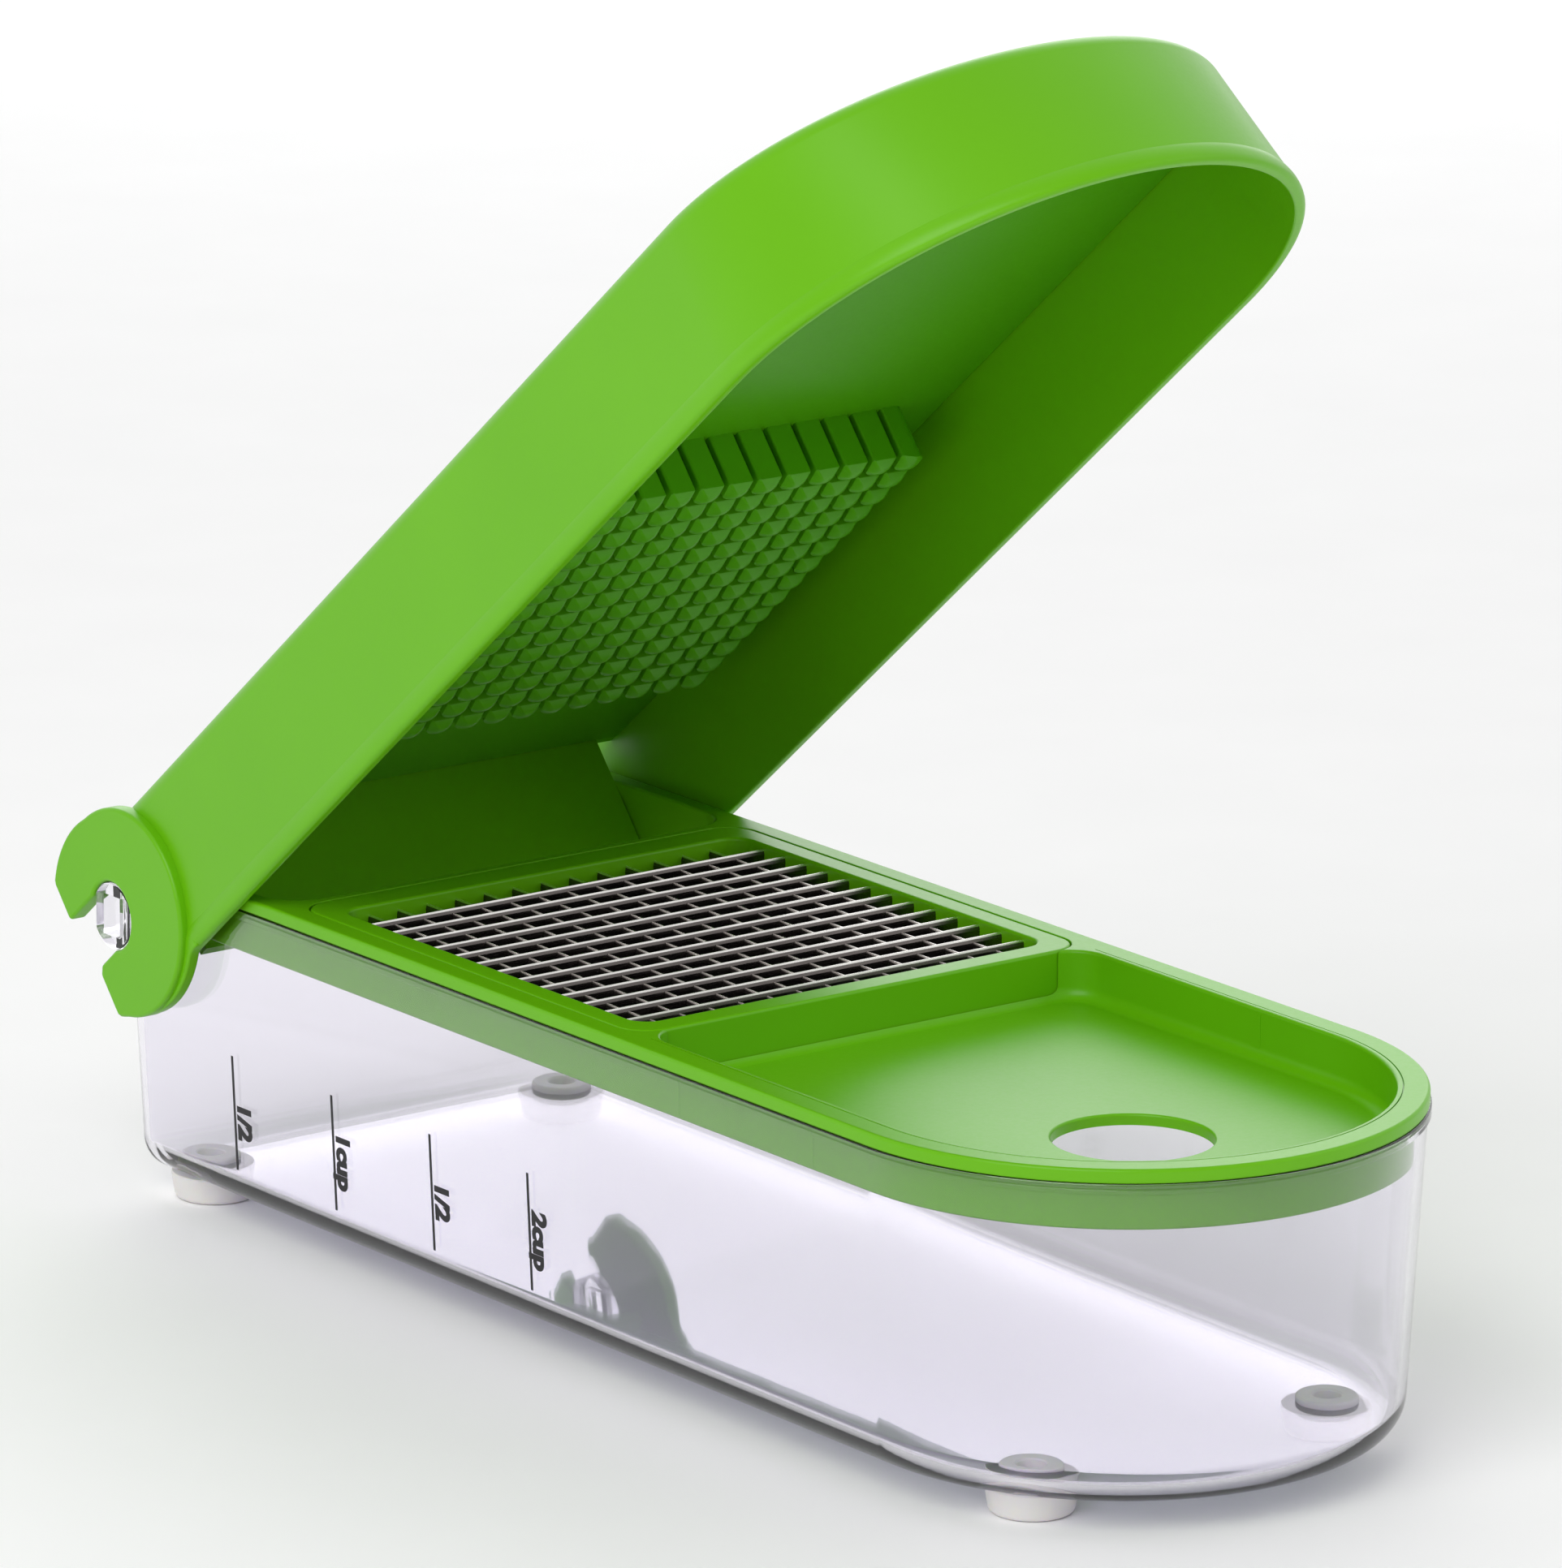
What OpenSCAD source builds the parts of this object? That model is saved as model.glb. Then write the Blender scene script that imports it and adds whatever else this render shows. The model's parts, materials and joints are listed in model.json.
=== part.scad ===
// Vegetable dicer: clear storage container, blade insert with a front tray,
// and a hinged pusher lid. +Z is up, -Y is the rounded front, +X is the right side.
// The origin is at floor level, midway along the whole length.

/* [Container] */
// Outer length of the container at its rim
container_l = 279.2; // [232:0.2:360]
// Height of the container from the underside of its floor to its rim
container_h = 57.7; // [40:0.1:90]
// Thickness of the container's side wall
wall_t = 1.6; // [1.2:0.1:4]
// Thickness of the container's floor
floor_t = 2.3; // [1.2:0.1:4]
// Step of the bead round the container's rim
rim_bead = 0.5; // [0.2:0.1:2]
// Height of that bead
rim_bead_h = 1.8; // [1:0.1:4]
// Draft of the container's walls in degrees
draft = 3; // [0:0.5:5]
// Radius of the container's rear corners in plan
rear_corner_r = 8; // [4:0.5:16]
// Outer radius where the walls turn into the floor
floor_edge_r = 6; // [3:0.5:10]

/* [Feet] */
// Height of a foot below the container's floor
foot_h = 5; // [3:0.5:12]
// Diameter of a foot where it meets the floor
foot_d = 16.8; // [10:0.2:24]
// Diameter of a foot where it stands
foot_tip_d = 15; // [8:0.2:24]
// Diameter of the stem that passes through the floor
foot_stem_d = 7; // [4:0.5:10]
// Gap round the stem in the floor's hole
stem_gap = 0.1; // [0.05:0.05:0.5]
// Diameter of the button that holds the foot inside the container
foot_button_d = 11; // [8:0.5:16]
// Height of that button
foot_button_h = 1.2; // [0.8:0.1:3]
// Width of the button's rim round its recess
button_rim = 3; // [2:0.5:3.5]
// Distance between the two front feet
front_foot_gap = 64.6; // [40:0.2:70]
// Distance between the two rear feet
rear_foot_gap = 79.4; // [40:0.2:82]
// Distance of the front feet from the tip of the nose
front_foot_in = 34.5; // [32:0.5:90]
// Distance of the rear feet from the rear face
rear_foot_in = 13.7; // [13.4:0.1:60]

/* [Insert] */
// Thickness of the flange that rests on the rim
flange_t = 2.5; // [1.5:0.1:5]
// Step of the flange inside the container's outer face
flange_step = 0.3; // [0:0.1:2]
// Depth of the skirt below the flange
skirt_h = 8.5; // [7:0.5:20]
// Gap between the skirt and the container's wall
skirt_gap = 0.25; // [0.2:0.05:2]
// Width of the tray's wall, measured in from the skirt's outer face
tray_wall = 3.2; // [1.5:0.1:8]
// Thickness of the insert's floor
tray_floor_t = 2; // [1.2:0.1:4]
// Radius of the tray's rear corners
tray_corner_r = 7; // [3:0.5:14]
// Diameter of the finger hole in the tray
finger_hole_d = 28; // [16:1:40]
// Distance of the finger hole's centre from the tip of the nose
finger_hole_in = 48.7; // [35:0.1:80]
// Step between the insert's window and the wider window of the cassette's seat
seat_relief = 0.4; // [0:0.1:1.2]
// Thickness of the skirt beside the cassette
side_rail = 1.65; // [1.2:0.05:6]
// Width of the rail in front of the rear edge
rear_bar = 10.4; // [9:0.2:16]
// Thickness of the skirt beside the opening behind the blades
rear_rail_t = 1.05; // [0.8:0.05:4]
// Radius of the front corners of the opening behind the blades
rear_opening_r = 8; // [3:0.5:15]

/* [Blades] */
// Pitch of the blades
pitch = 6.35; // [5:0.05:12]
// Number of blades in each direction
blade_count = 13; // [5:1:17]
// Thickness of a blade
blade_t = 0.6; // [0.3:0.05:1]
// Width left on a blade's ground edge
edge_w = 0.12; // [0.05:0.01:0.25]
// Drop of the lengthwise blades' edges below the cross blades' edges
blade_drop = 0.8; // [0.3:0.1:2]
// Height of the ground edge on a blade
grind_h = 0.9; // [0.4:0.1:2]
// Depth of the blades' edges below the top of the cassette
blade_sink = 0.9; // [0.4:0.1:3]
// Distance that a blade's end runs into the cassette
blade_end = 1.6; // [1:0.1:3]
// Width of the cassette's sides
cassette_side = 4.6; // [3.5:0.1:8]
// Width of the cassette's front side
cassette_front = 5.3; // [3.5:0.1:10]
// Width of the cassette's rear side
cassette_rear = 6.9; // [3.5:0.1:12]
// Outer corner radius of the cassette
cassette_r = 6; // [2:0.5:12]
// Gap round the cassette in its seat
seat_gap = 0.2; // [0.1:0.05:1]
// Space between the last cross blade's cell and the window's rear side
rear_play = 1.3; // [0:0.1:3]
// Corner radius of the window
window_r = 4; // [1:0.5:5]
// Distance of the middle of the blades from the hinge axis
blades_in = 99.5; // [92:0.1:115]

/* [Lid] */
// Angle of the lid at rest, measured from closed
open_angle = 40; // [0:1:90]
// Gap at each side between the container and the lid
lid_gap = 0.4; // [0.3:0.1:2]
// Thickness of the lid's walls
lid_t = 2.2; // [1.6:0.1:4]
// Thickness of the lid's top
lid_top_t = 2.2; // [1.6:0.1:4]
// Depth of the lid's side wall
lid_h = 31.5; // [26:0.1:45]
// Overhang of the lid's lip beyond the container's nose
lip_reach = 13.4; // [6:0.2:20]
// Overhang of the lid's top beyond the container's nose
top_reach = 2.8; // [2:0.1:10]
// Distance by which the lid's sides start to round ahead of the container's
lid_nose_step = 6.5; // [0:0.1:12]
// Radius of the lid's upper edge
lid_edge_r = 3.4; // [1:0.1:3.6]
// Step by which the lid's side wall leans in at the top
lid_lean = 0.8; // [0:0.1:1.6]
// Thickness of the lid's rear wall
curtain_t = 2.2; // [1.6:0.1:4]
// Depth of the lid's rear wall below the hinge axis
curtain_drop = 15; // [4:0.5:24]
// Gap at each side between the lid's rear wall and the insert
curtain_gap = 0.45; // [0.3:0.05:2]
// Gap above the insert of that wall when the lid stands upright
curtain_rise = 0.6; // [0.4:0.1:2]

/* [Hinge] */
// Distance of the hinge axis from the container's rear face
axis_in = 6.8; // [4:0.1:20]
// Distance of the hinge axis below the container's rim
axis_drop = 8.4; // [7.4:0.1:20]
// Diameter of a hinge pin
pin_d = 12.6; // [9:0.1:14]
// Depth of the flat on each side of a hinge pin
flat_cut = 0.9; // [0.4:0.1:2]
// Depth of the recess in a hinge pin's end
recess_depth = 2.4; // [1:0.1:3]
// Radial gap between a hinge pin and its hook
pin_gap = 0.08; // [0.02:0.01:0.3]
// Radius of a hinge hook
hook_r = 18.6; // [14:0.1:24]
// Distance from the hinge axis of the flat face above a hook's mouth
hook_flat = 12.7; // [8:0.1:13.5]
// Distance from the hinge axis of the flat face below the mouth
heel_flat = 10.1; // [8:0.1:13.5]
// Step of a hook's face outside the lid's side wall
hook_step = 1.5; // [0.3:0.1:4]
// Gap between a hook and the inner face of the lid's side wall
hook_set = 0.15; // [0.1:0.05:1]
// Width that a hook's slot has over the pin's flats
slot_gap = 0.4; // [0.2:0.1:1]
// Step by which the slot's mouth widens on its lower side
mouth_flare = 1.4; // [0:0.1:3]
// Radius of a hook's heel, where it joins the lid's lip
heel_r = 19.5; // [14:0.1:24]
// Radius of the hollow curve between the heel and the lip
heel_blend_r = 4; // [2:0.5:8]

/* [Pusher] */
// Thickness of the pusher plate
plate_t = 1.4; // [1.2:0.1:4]
// Gap between the closed pusher plate and the insert
plate_gap = 0.4; // [0.2:0.1:2]
// Gap between the pusher plate's edge and the lid's walls
plate_side_gap = 0.15; // [0.1:0.05:1]
// Length of a pusher pin
pusher_pin_l = 11.4; // [6:0.1:12]
// Height of a pusher pin's pointed tip
tip_h = 1.6; // [0.4:0.1:3]
// Gap between a pusher pin and a blade
pin_side_gap = 0.25; // [0.15:0.05:1]

/* [Hidden] */
eps = 0.01;
arc_steps = 40;
edge_step = 22.5;
// Angles and lengths of the hooks and the whole object
hook_corner = sqrt(pow(hook_r, 2) - pow(hook_flat, 2));
hook_reach = open_angle < atan2(hook_corner, hook_flat)
    ? hook_flat * cos(open_angle) + hook_corner * sin(open_angle) : hook_r;
overall_l = container_l - axis_in + hook_reach;
y_nose = -overall_l / 2;
y_rear = y_nose + container_l;
y_axis = y_rear - axis_in;
// Heights
z_floor = foot_h;
z_inside = z_floor + floor_t;
z_rim = z_floor + container_h;
z_top = z_rim + flange_t;
z_axis = z_rim - axis_drop;
z_skirt = z_rim - skirt_h;
z_tray = z_skirt + tray_floor_t;
z_edge = z_top - blade_sink;
// Blade cassette
y_grid = y_axis - blades_in;
grid_half = (blade_count + 1) * pitch / 2;
window_rear = grid_half + rear_play;
cassette_hw = grid_half + cassette_side;
cassette_h = z_top - z_tray;
blade_h = z_edge - z_tray;
y_cassette_front = y_grid - grid_half - cassette_front;
y_cassette_rear = y_grid + window_rear + cassette_rear;
blade_reach = grid_half + blade_end;
lap_gap = 0.05;
// Insert, built out from the cassette, and the drafted container round its skirt
skirt_hw = cassette_hw + seat_gap + side_rail;
rear_opening_hw = skirt_hw - rear_rail_t;
rear_turn_r = 1;
wall_hw = skirt_hw + skirt_gap + skirt_h * tan(draft) + wall_t;
body_hw = wall_hw + rim_bead;
nose_r = body_hw;
skirt_in = body_hw - skirt_hw;
// Lid, measured from the hinge axis in the closed pose
lid_in_hw = body_hw + lid_gap;
lid_hw = lid_in_hw + lid_t;
lid_nose_in = nose_r - lid_nose_step;
lid_rear_r = 1;
nose_out = y_axis - y_nose;
plate_z = z_top - z_axis + plate_gap;
lid_under = plate_z + plate_t;
lid_top = lid_under + lid_top_t;
lid_lip = lid_top - lid_h;
curtain_y = z_top - z_axis + curtain_rise;
curtain_hw = rear_opening_hw - curtain_gap;
hook_out = lid_hw + hook_step;
pin_flat = pin_d - 2 * flat_cut;
pin_end = hook_out - 0.4;
recess_long = 0.6 * pin_d;
recess_wide = 0.48 * pin_flat;
slot_w = pin_flat + slot_gap;
curtain_set = 0.1;
heel_y_z = [-3.6, -1.1];

SIDES = [["left", -1], ["right", 1]];
ENDS = [["front", front_foot_gap, y_nose + front_foot_in], ["rear", rear_foot_gap, y_rear - rear_foot_in]];
two = function (n) n < 10 ? str("0", n) : str(n);

// Outline with a rounded front and rounded rear corners, as a polygon:
// hw is its half width, tip its foremost y, nose the length of its round front.
function outline(hw, tip, nose, rear, rc) = concat(
    [for (i = [0:arc_steps]) let (a = 180 + 180 * i / arc_steps) [hw * cos(a), tip + nose + nose * sin(a)]],
    [for (a = [0:15:90]) [hw - rc + rc * cos(a), rear - rc + rc * sin(a)]],
    [for (a = [90:15:180]) [-hw + rc + rc * cos(a), rear - rc + rc * sin(a)]]
);

// The same outline with true arcs, set in from the container's outer face.
module plan(inset, rear_inset, rc) {
    hw = body_hw - inset;
    translate([0, y_nose + nose_r])
        circle(r = hw, $fn = 96);
    translate([-hw, y_nose + nose_r])
        square([2 * hw, y_rear - rear_inset - rc - y_nose - nose_r]);
    for (s = [-1, 1])
        translate([s * (hw - rc), y_rear - rear_inset - rc])
            circle(r = rc, $fn = 48);
    translate([-(hw - rc), y_nose + nose_r])
        square([2 * (hw - rc), y_rear - rear_inset - y_nose - nose_r]);
}

module rounded_box(x, y0, y1, r) {
    for (s = [-1, 1])
        for (yy = [y0 + r, y1 - r])
            translate([s * (x - r), yy])
                circle(r = r, $fn = 48);
    translate([-x, y0 + r])
        square([2 * x, y1 - y0 - 2 * r]);
    translate([-(x - r), y0])
        square([2 * (x - r), y1 - y0]);
}

// Drafted tub, closed at the bottom with a rolled edge: inset is measured from the outer face.
module tub(inset, bottom, edge_r, top) {
    hull() {
        for (a = [0:edge_step:90]) {
            z = bottom + edge_r * (1 - sin(a));
            step = inset + (z_rim - z) * tan(draft) + edge_r * (1 - cos(a));
            translate([0, 0, z])
                linear_extrude(height = eps)
                    polygon(outline(body_hw - step, y_nose + step, nose_r - step, y_rear - step,
                        max(rear_corner_r - step, 1)));
        }
        translate([0, 0, top - eps])
            linear_extrude(height = eps)
                polygon(outline(body_hw - inset, y_nose + inset, nose_r - inset, y_rear - inset,
                    max(rear_corner_r - inset, 1)));
    }
}

module hinge_pin(side) {
    root = wall_hw - (axis_drop + pin_d / 2) * tan(draft) - wall_t / 2;
    translate([side * root, y_axis, z_axis])
        rotate([0, side * 90, 0])
            difference() {
                intersection() {
                    cylinder(d = pin_d, h = pin_end - root, $fn = 64);
                    translate([-pin_d, -pin_flat / 2, 0])
                        cube([2 * pin_d, pin_flat, pin_end]);
                }
                translate([-recess_long / 2, -recess_wide / 2, pin_end - root - recess_depth])
                    cube([recess_long, recess_wide, recess_depth + 1]);
            }
}

module foot_stations() {
    for (e = ENDS)
        for (s = SIDES)
            translate([s[1] * e[1] / 2, e[2], 0])
                children();
}

module container() {
    color([0.86, 0.85, 0.95, 0.35]) {
        difference() {
            union() {
                tub(rim_bead, z_floor, floor_edge_r, z_rim);
                translate([0, 0, z_rim - rim_bead_h])
                    linear_extrude(height = rim_bead_h)
                        plan(0, 0, rear_corner_r);
            }
            tub(rim_bead + wall_t, z_inside, max(floor_edge_r - wall_t, 1), z_rim + 1);
            foot_stations()
                cylinder(d = foot_stem_d + 2 * stem_gap, h = z_inside + 1, $fn = 48);
        }
        for (s = SIDES)
            hinge_pin(s[1]);
    }
}

module foot(end, side) {
    color([0.82, 0.82, 0.80])
        translate([side * end[1] / 2, end[2], 0])
            difference() {
                union() {
                    cylinder(d1 = foot_tip_d, d2 = foot_d, h = foot_h, $fn = 64);
                    cylinder(d = foot_stem_d, h = z_inside + foot_button_h, $fn = 48);
                    translate([0, 0, z_inside])
                        cylinder(d = foot_button_d, h = foot_button_h, $fn = 48);
                }
                translate([0, 0, z_inside - foot_button_h / 2])
                    cylinder(d = foot_button_d - 2 * button_rim, h = 2 * foot_button_h, $fn = 48);
            }
}

// Openings through the insert's top that leave its rails and the tray's walls
module insert_wells() {
    rounded_box(cassette_hw + seat_gap, y_cassette_front - seat_gap, y_cassette_rear + seat_gap,
        cassette_r + seat_gap);
    intersection() {
        plan(skirt_in + tray_wall, 0, 1);
        rounded_box(body_hw, y_nose - container_l, y_cassette_front, tray_corner_r);
        tray_corners();
    }
}

module tray_corners() {
    rounded_box(skirt_hw - tray_wall, y_nose - container_l, y_cassette_front, tray_corner_r);
}

// Opening behind the blades, square at the rear so that the lid's rear wall swings through it
module rear_opening() {
    rounded_box(rear_opening_hw, y_cassette_rear, y_rear - rear_bar, rear_opening_r);
    rounded_box(rear_opening_hw, y_cassette_rear + rear_opening_r, y_rear - rear_bar, rear_turn_r);
}

module insert_frame() {
    color([0.36, 0.72, 0.08])
        difference() {
            union() {
                translate([0, 0, z_rim])
                    linear_extrude(height = flange_t)
                        plan(flange_step, flange_step, rear_corner_r - flange_step);
                translate([0, 0, z_skirt])
                    linear_extrude(height = skirt_h)
                        plan(skirt_in, skirt_in, max(rear_corner_r - skirt_in, 2));
            }
            translate([0, 0, z_tray])
                linear_extrude(height = z_top)
                    insert_wells();
            translate([0, 0, z_skirt - 1])
                linear_extrude(height = z_top)
                    rounded_box(grid_half + seat_relief, y_grid - grid_half - seat_relief,
                        y_grid + window_rear + seat_relief, window_r);
            translate([0, 0, z_skirt - 1])
                linear_extrude(height = z_top)
                    rear_opening();
            translate([0, y_nose + finger_hole_in, z_skirt - 1])
                cylinder(d = finger_hole_d, h = z_top, $fn = 96);
        }
}

module blade_cassette() {
    color([0.38, 0.74, 0.10])
        difference() {
            translate([0, 0, z_tray])
                linear_extrude(height = cassette_h)
                    difference() {
                        rounded_box(cassette_hw, y_cassette_front, y_cassette_rear, cassette_r);
                        rounded_box(grid_half, y_grid - grid_half, y_grid + window_rear, window_r);
                    }
            for (i = [1:blade_count]) {
                translate([-blade_reach, row_y(i) - blade_t / 2, z_tray - 1])
                    cube([2 * blade_reach, blade_t, blade_h + 1]);
                translate([col_x(i) - blade_t / 2, y_grid - blade_reach, z_tray - 1])
                    cube([blade_t, 2 * blade_reach + rear_play, blade_h - blade_drop + 1]);
            }
        }
}

function row_y(i) = y_grid + (i - (blade_count + 1) / 2) * pitch;
function col_x(i) = (i - (blade_count + 1) / 2) * pitch;

// Flat blade along +X with a ground upper edge, its foot on z = 0
module blade_strip(length, height) {
    rotate([90, 0, 90])
        linear_extrude(height = length)
            polygon([
                [-blade_t / 2, 0], [blade_t / 2, 0], [blade_t / 2, height - grind_h],
                [edge_w / 2, height], [-edge_w / 2, height], [-blade_t / 2, height - grind_h]
            ]);
}

module cross_blade(i) {
    color([0.80, 0.80, 0.82])
        difference() {
            translate([-blade_reach, row_y(i), z_tray])
                blade_strip(2 * blade_reach, blade_h);
            for (k = [1:blade_count])
                translate([col_x(k) - blade_t / 2 - lap_gap, row_y(i) - blade_t, z_tray - 1])
                    cube([blade_t + 2 * lap_gap, 2 * blade_t, blade_h / 2 + 1 + lap_gap]);
        }
}

module long_blade(i) {
    color([0.80, 0.80, 0.82])
        difference() {
            translate([col_x(i), y_grid + blade_reach + rear_play, z_tray])
                rotate([0, 0, -90])
                    blade_strip(2 * blade_reach + rear_play, blade_h - blade_drop);
            for (k = [1:blade_count])
                translate([col_x(i) - blade_t, row_y(k) - blade_t / 2 - lap_gap, z_tray + blade_h / 2])
                    cube([2 * blade_t, blade_t + 2 * lap_gap, blade_h]);
        }
}

// Places the lid's parts, drawn closed with the hinge axis at the origin, at the open angle
module on_hinge() {
    translate([0, y_axis, z_axis])
        rotate([-open_angle, 0, 0])
            children();
}

module lid_slab(z, hw, reach, rear) {
    translate([0, 0, z])
        linear_extrude(height = eps)
            polygon(outline(hw, -nose_out - reach, lid_nose_in + reach, rear, lid_rear_r));
}

// Overhang and lean of the lid's wall at a height
function reach_at(z) = lip_reach + (top_reach - lip_reach) * (z - lid_lip) / lid_h;
function lean_at(z) = lid_lean * (z - lid_lip) / lid_h;

module lid_shell() {
    open_rear = -curtain_y + 1;
    color([0.40, 0.76, 0.08])
        on_hinge() {
            difference() {
                union() {
                    hull() {
                        lid_slab(lid_lip, lid_hw, lip_reach, -curtain_y);
                        for (a = [0:edge_step:90]) {
                            z = lid_top - lid_edge_r * (1 - sin(a)) - eps;
                            in = lid_edge_r * (1 - cos(a));
                            lid_slab(z, lid_hw - lean_at(z) - in, reach_at(z) - in, -curtain_y - in);
                        }
                    }
                    for (s = [-1, 1])
                        hook_blank(s);
                }
                hull() {
                    lid_slab(lid_lip - 1, lid_in_hw, reach_at(lid_lip) - lid_t, open_rear);
                    lid_slab(lid_under - eps, lid_in_hw, reach_at(lid_under) - lid_t, open_rear);
                }
                for (s = [-1, 1])
                    hook_slot(s);
            }
            curtain();
        }
}

// Rear wall of the lid: full width above the insert, narrower where it dips between the insert's rails
module curtain() {
    low = plate_z + plate_gap;
    face = -curtain_y - curtain_t;
    depth = curtain_t - curtain_set;
    translate([-lid_in_hw - 0.5, face, low])
        cube([2 * lid_in_hw + 1, depth, lid_under - low + 0.5]);
    translate([-curtain_hw, face, -curtain_drop])
        cube([2 * curtain_hw, depth, curtain_drop + lid_under + 0.5]);
}

module hook_blank(side) {
    x0 = side > 0 ? lid_in_hw + hook_set : -hook_out;
    translate([x0, 0, 0])
        rotate([90, 0, 90])
            linear_extrude(height = hook_out - lid_in_hw - hook_set)
                difference() {
                    union() {
                        circle(r = hook_r, $fn = 128);
                        hook_heel();
                    }
                    translate([hook_flat, 0])
                        square([2 * hook_r, 2 * hook_r]);
                    translate([heel_flat, -2 * hook_r])
                        square([2 * hook_r, 2 * hook_r]);
                }
}

// Heel below a hook, blended into the lid's lip with a hollow curve that starts inside the wall
module hook_heel() {
    blend_z = lid_lip - heel_blend_r + hook_set;
    drop = heel_y_z[1] - blend_z;
    blend_y = heel_y_z[0] - sqrt(pow(heel_r + heel_blend_r, 2) - pow(drop, 2));
    touch = atan2(drop, heel_y_z[0] - blend_y);
    translate(heel_y_z)
        circle(r = heel_r, $fn = 128);
    polygon(concat(
        [heel_y_z, [blend_y, lid_lip + 1]],
        [for (i = [0:8]) let (a = 90 - (90 - touch) * i / 8)
            [blend_y + heel_blend_r * cos(a), blend_z + heel_blend_r * sin(a)]]
    ));
}

module hook_slot(side) {
    bore = pin_d / 2 + pin_gap;
    x0 = side > 0 ? lid_in_hw - 1 : -hook_out - 1;
    translate([x0, 0, 0])
        rotate([90, 0, 90])
            linear_extrude(height = hook_out - lid_in_hw + 2) {
                circle(r = bore, $fn = 96);
                translate([0, -slot_w / 2])
                    square([hook_r + 1, slot_w]);
                polygon([
                    [heel_flat - mouth_flare, -slot_w / 2],
                    [heel_flat + 1, -slot_w / 2 - mouth_flare - 1],
                    [heel_flat + 1, 0], [heel_flat - mouth_flare, 0]
                ]);
            }
}

// Tapered teeth of the pusher in profile: u is the row's direction, n its shift and width
module tooth(lo, hi) {
    mid = (lo + hi) / 2;
    polygon([
        [lo, -pusher_pin_l + tip_h], [mid, -pusher_pin_l], [hi, -pusher_pin_l + tip_h],
        [hi, eps], [lo, eps]
    ]);
}

// Rise that a point of the pusher makes towards the hinge while it passes through the blades
function swing(y) = let (zt = plate_z - pusher_pin_l) (pow(z_edge - z_axis, 2) - pow(zt, 2)) / (2 * abs(y));

module pusher_grid() {
    half_gap = blade_t / 2 + pin_side_gap;
    plate_hw = lid_in_hw - plate_side_gap;
    plate_reach = reach_at(lid_under) - lid_t - plate_side_gap;
    color([0.30, 0.66, 0.06])
        on_hinge() {
            translate([0, 0, plate_z])
                linear_extrude(height = plate_t)
                    polygon(outline(plate_hw, -nose_out - plate_reach, lid_nose_in + plate_reach,
                        -curtain_y - curtain_t - plate_side_gap, lid_rear_r));
            translate([0, 0, plate_z])
                intersection() {
                    translate([0, -y_axis, -pusher_pin_l - 1])
                        linear_extrude(height = pusher_pin_l + 2)
                            rounded_box(grid_half - half_gap / 2, y_grid - grid_half + half_gap / 2,
                                y_grid + window_rear - half_gap / 2, window_r - half_gap / 2);
                    rotate([90, 0, 0])
                        linear_extrude(height = nose_out)
                            for (c = [0:blade_count]) {
                                x = -grid_half + (c + 0.5) * pitch;
                                tooth(x - pitch / 2 + half_gap, x + pitch / 2 - half_gap);
                            }
                    translate([-lid_in_hw, 0, 0])
                        rotate([90, 0, 90])
                            linear_extrude(height = 2 * lid_in_hw)
                                for (r = [0:blade_count]) {
                                    y = y_grid - y_axis - grid_half + (r + 0.5) * pitch;
                                    tooth(y - pitch / 2 + half_gap,
                                        y + pitch / 2 - half_gap - swing(y + pitch / 2));
                                }
                }
        }
}

container();
for (e = ENDS)
    for (s = SIDES)
        foot(e, s[1]);
insert_frame();
blade_cassette();
for (i = [1:blade_count])
    cross_blade(i);
for (i = [1:blade_count])
    long_blade(i);
lid_shell();
pusher_grid();
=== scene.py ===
"""Vegetable dicer: clear container, blade insert with a front tray, and a hinged pusher lid.

Each sub-assembly is a class that builds its own meshes and dresses them. Sizes are in millimetres
in the part's own frame (+Z up, -Y the rounded front) and turn to metres where a mesh is made.
"""

from __future__ import annotations

import json
import logging
import math
from dataclasses import dataclass, field
from enum import Enum
from typing import Iterable, Sequence

import bmesh
import bpy
from mathutils import Matrix, Vector


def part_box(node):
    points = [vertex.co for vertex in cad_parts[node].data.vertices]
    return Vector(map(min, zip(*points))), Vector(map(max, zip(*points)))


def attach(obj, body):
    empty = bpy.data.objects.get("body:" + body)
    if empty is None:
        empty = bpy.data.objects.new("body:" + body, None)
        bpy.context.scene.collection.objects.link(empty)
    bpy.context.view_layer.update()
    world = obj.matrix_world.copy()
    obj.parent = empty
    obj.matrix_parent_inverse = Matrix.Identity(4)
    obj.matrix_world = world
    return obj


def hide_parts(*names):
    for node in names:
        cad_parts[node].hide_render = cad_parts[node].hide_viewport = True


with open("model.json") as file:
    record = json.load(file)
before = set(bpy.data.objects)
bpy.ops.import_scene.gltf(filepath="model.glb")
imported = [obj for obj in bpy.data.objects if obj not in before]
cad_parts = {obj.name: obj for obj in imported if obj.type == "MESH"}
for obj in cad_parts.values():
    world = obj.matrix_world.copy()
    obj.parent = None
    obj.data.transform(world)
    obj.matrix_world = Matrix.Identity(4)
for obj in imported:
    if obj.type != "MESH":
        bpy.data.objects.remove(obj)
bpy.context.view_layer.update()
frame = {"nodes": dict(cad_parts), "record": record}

MM = 0.001
# Smallest corner radius, in mm, that an outline keeps when it is moved inwards.
LEAST_CORNER = 0.4
LOG = logging.getLogger("dicer")
Point2 = tuple[float, float]
Ring = list[tuple[float, float, float]]


# ---------------------------------------------------------------- colour and nodes


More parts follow.
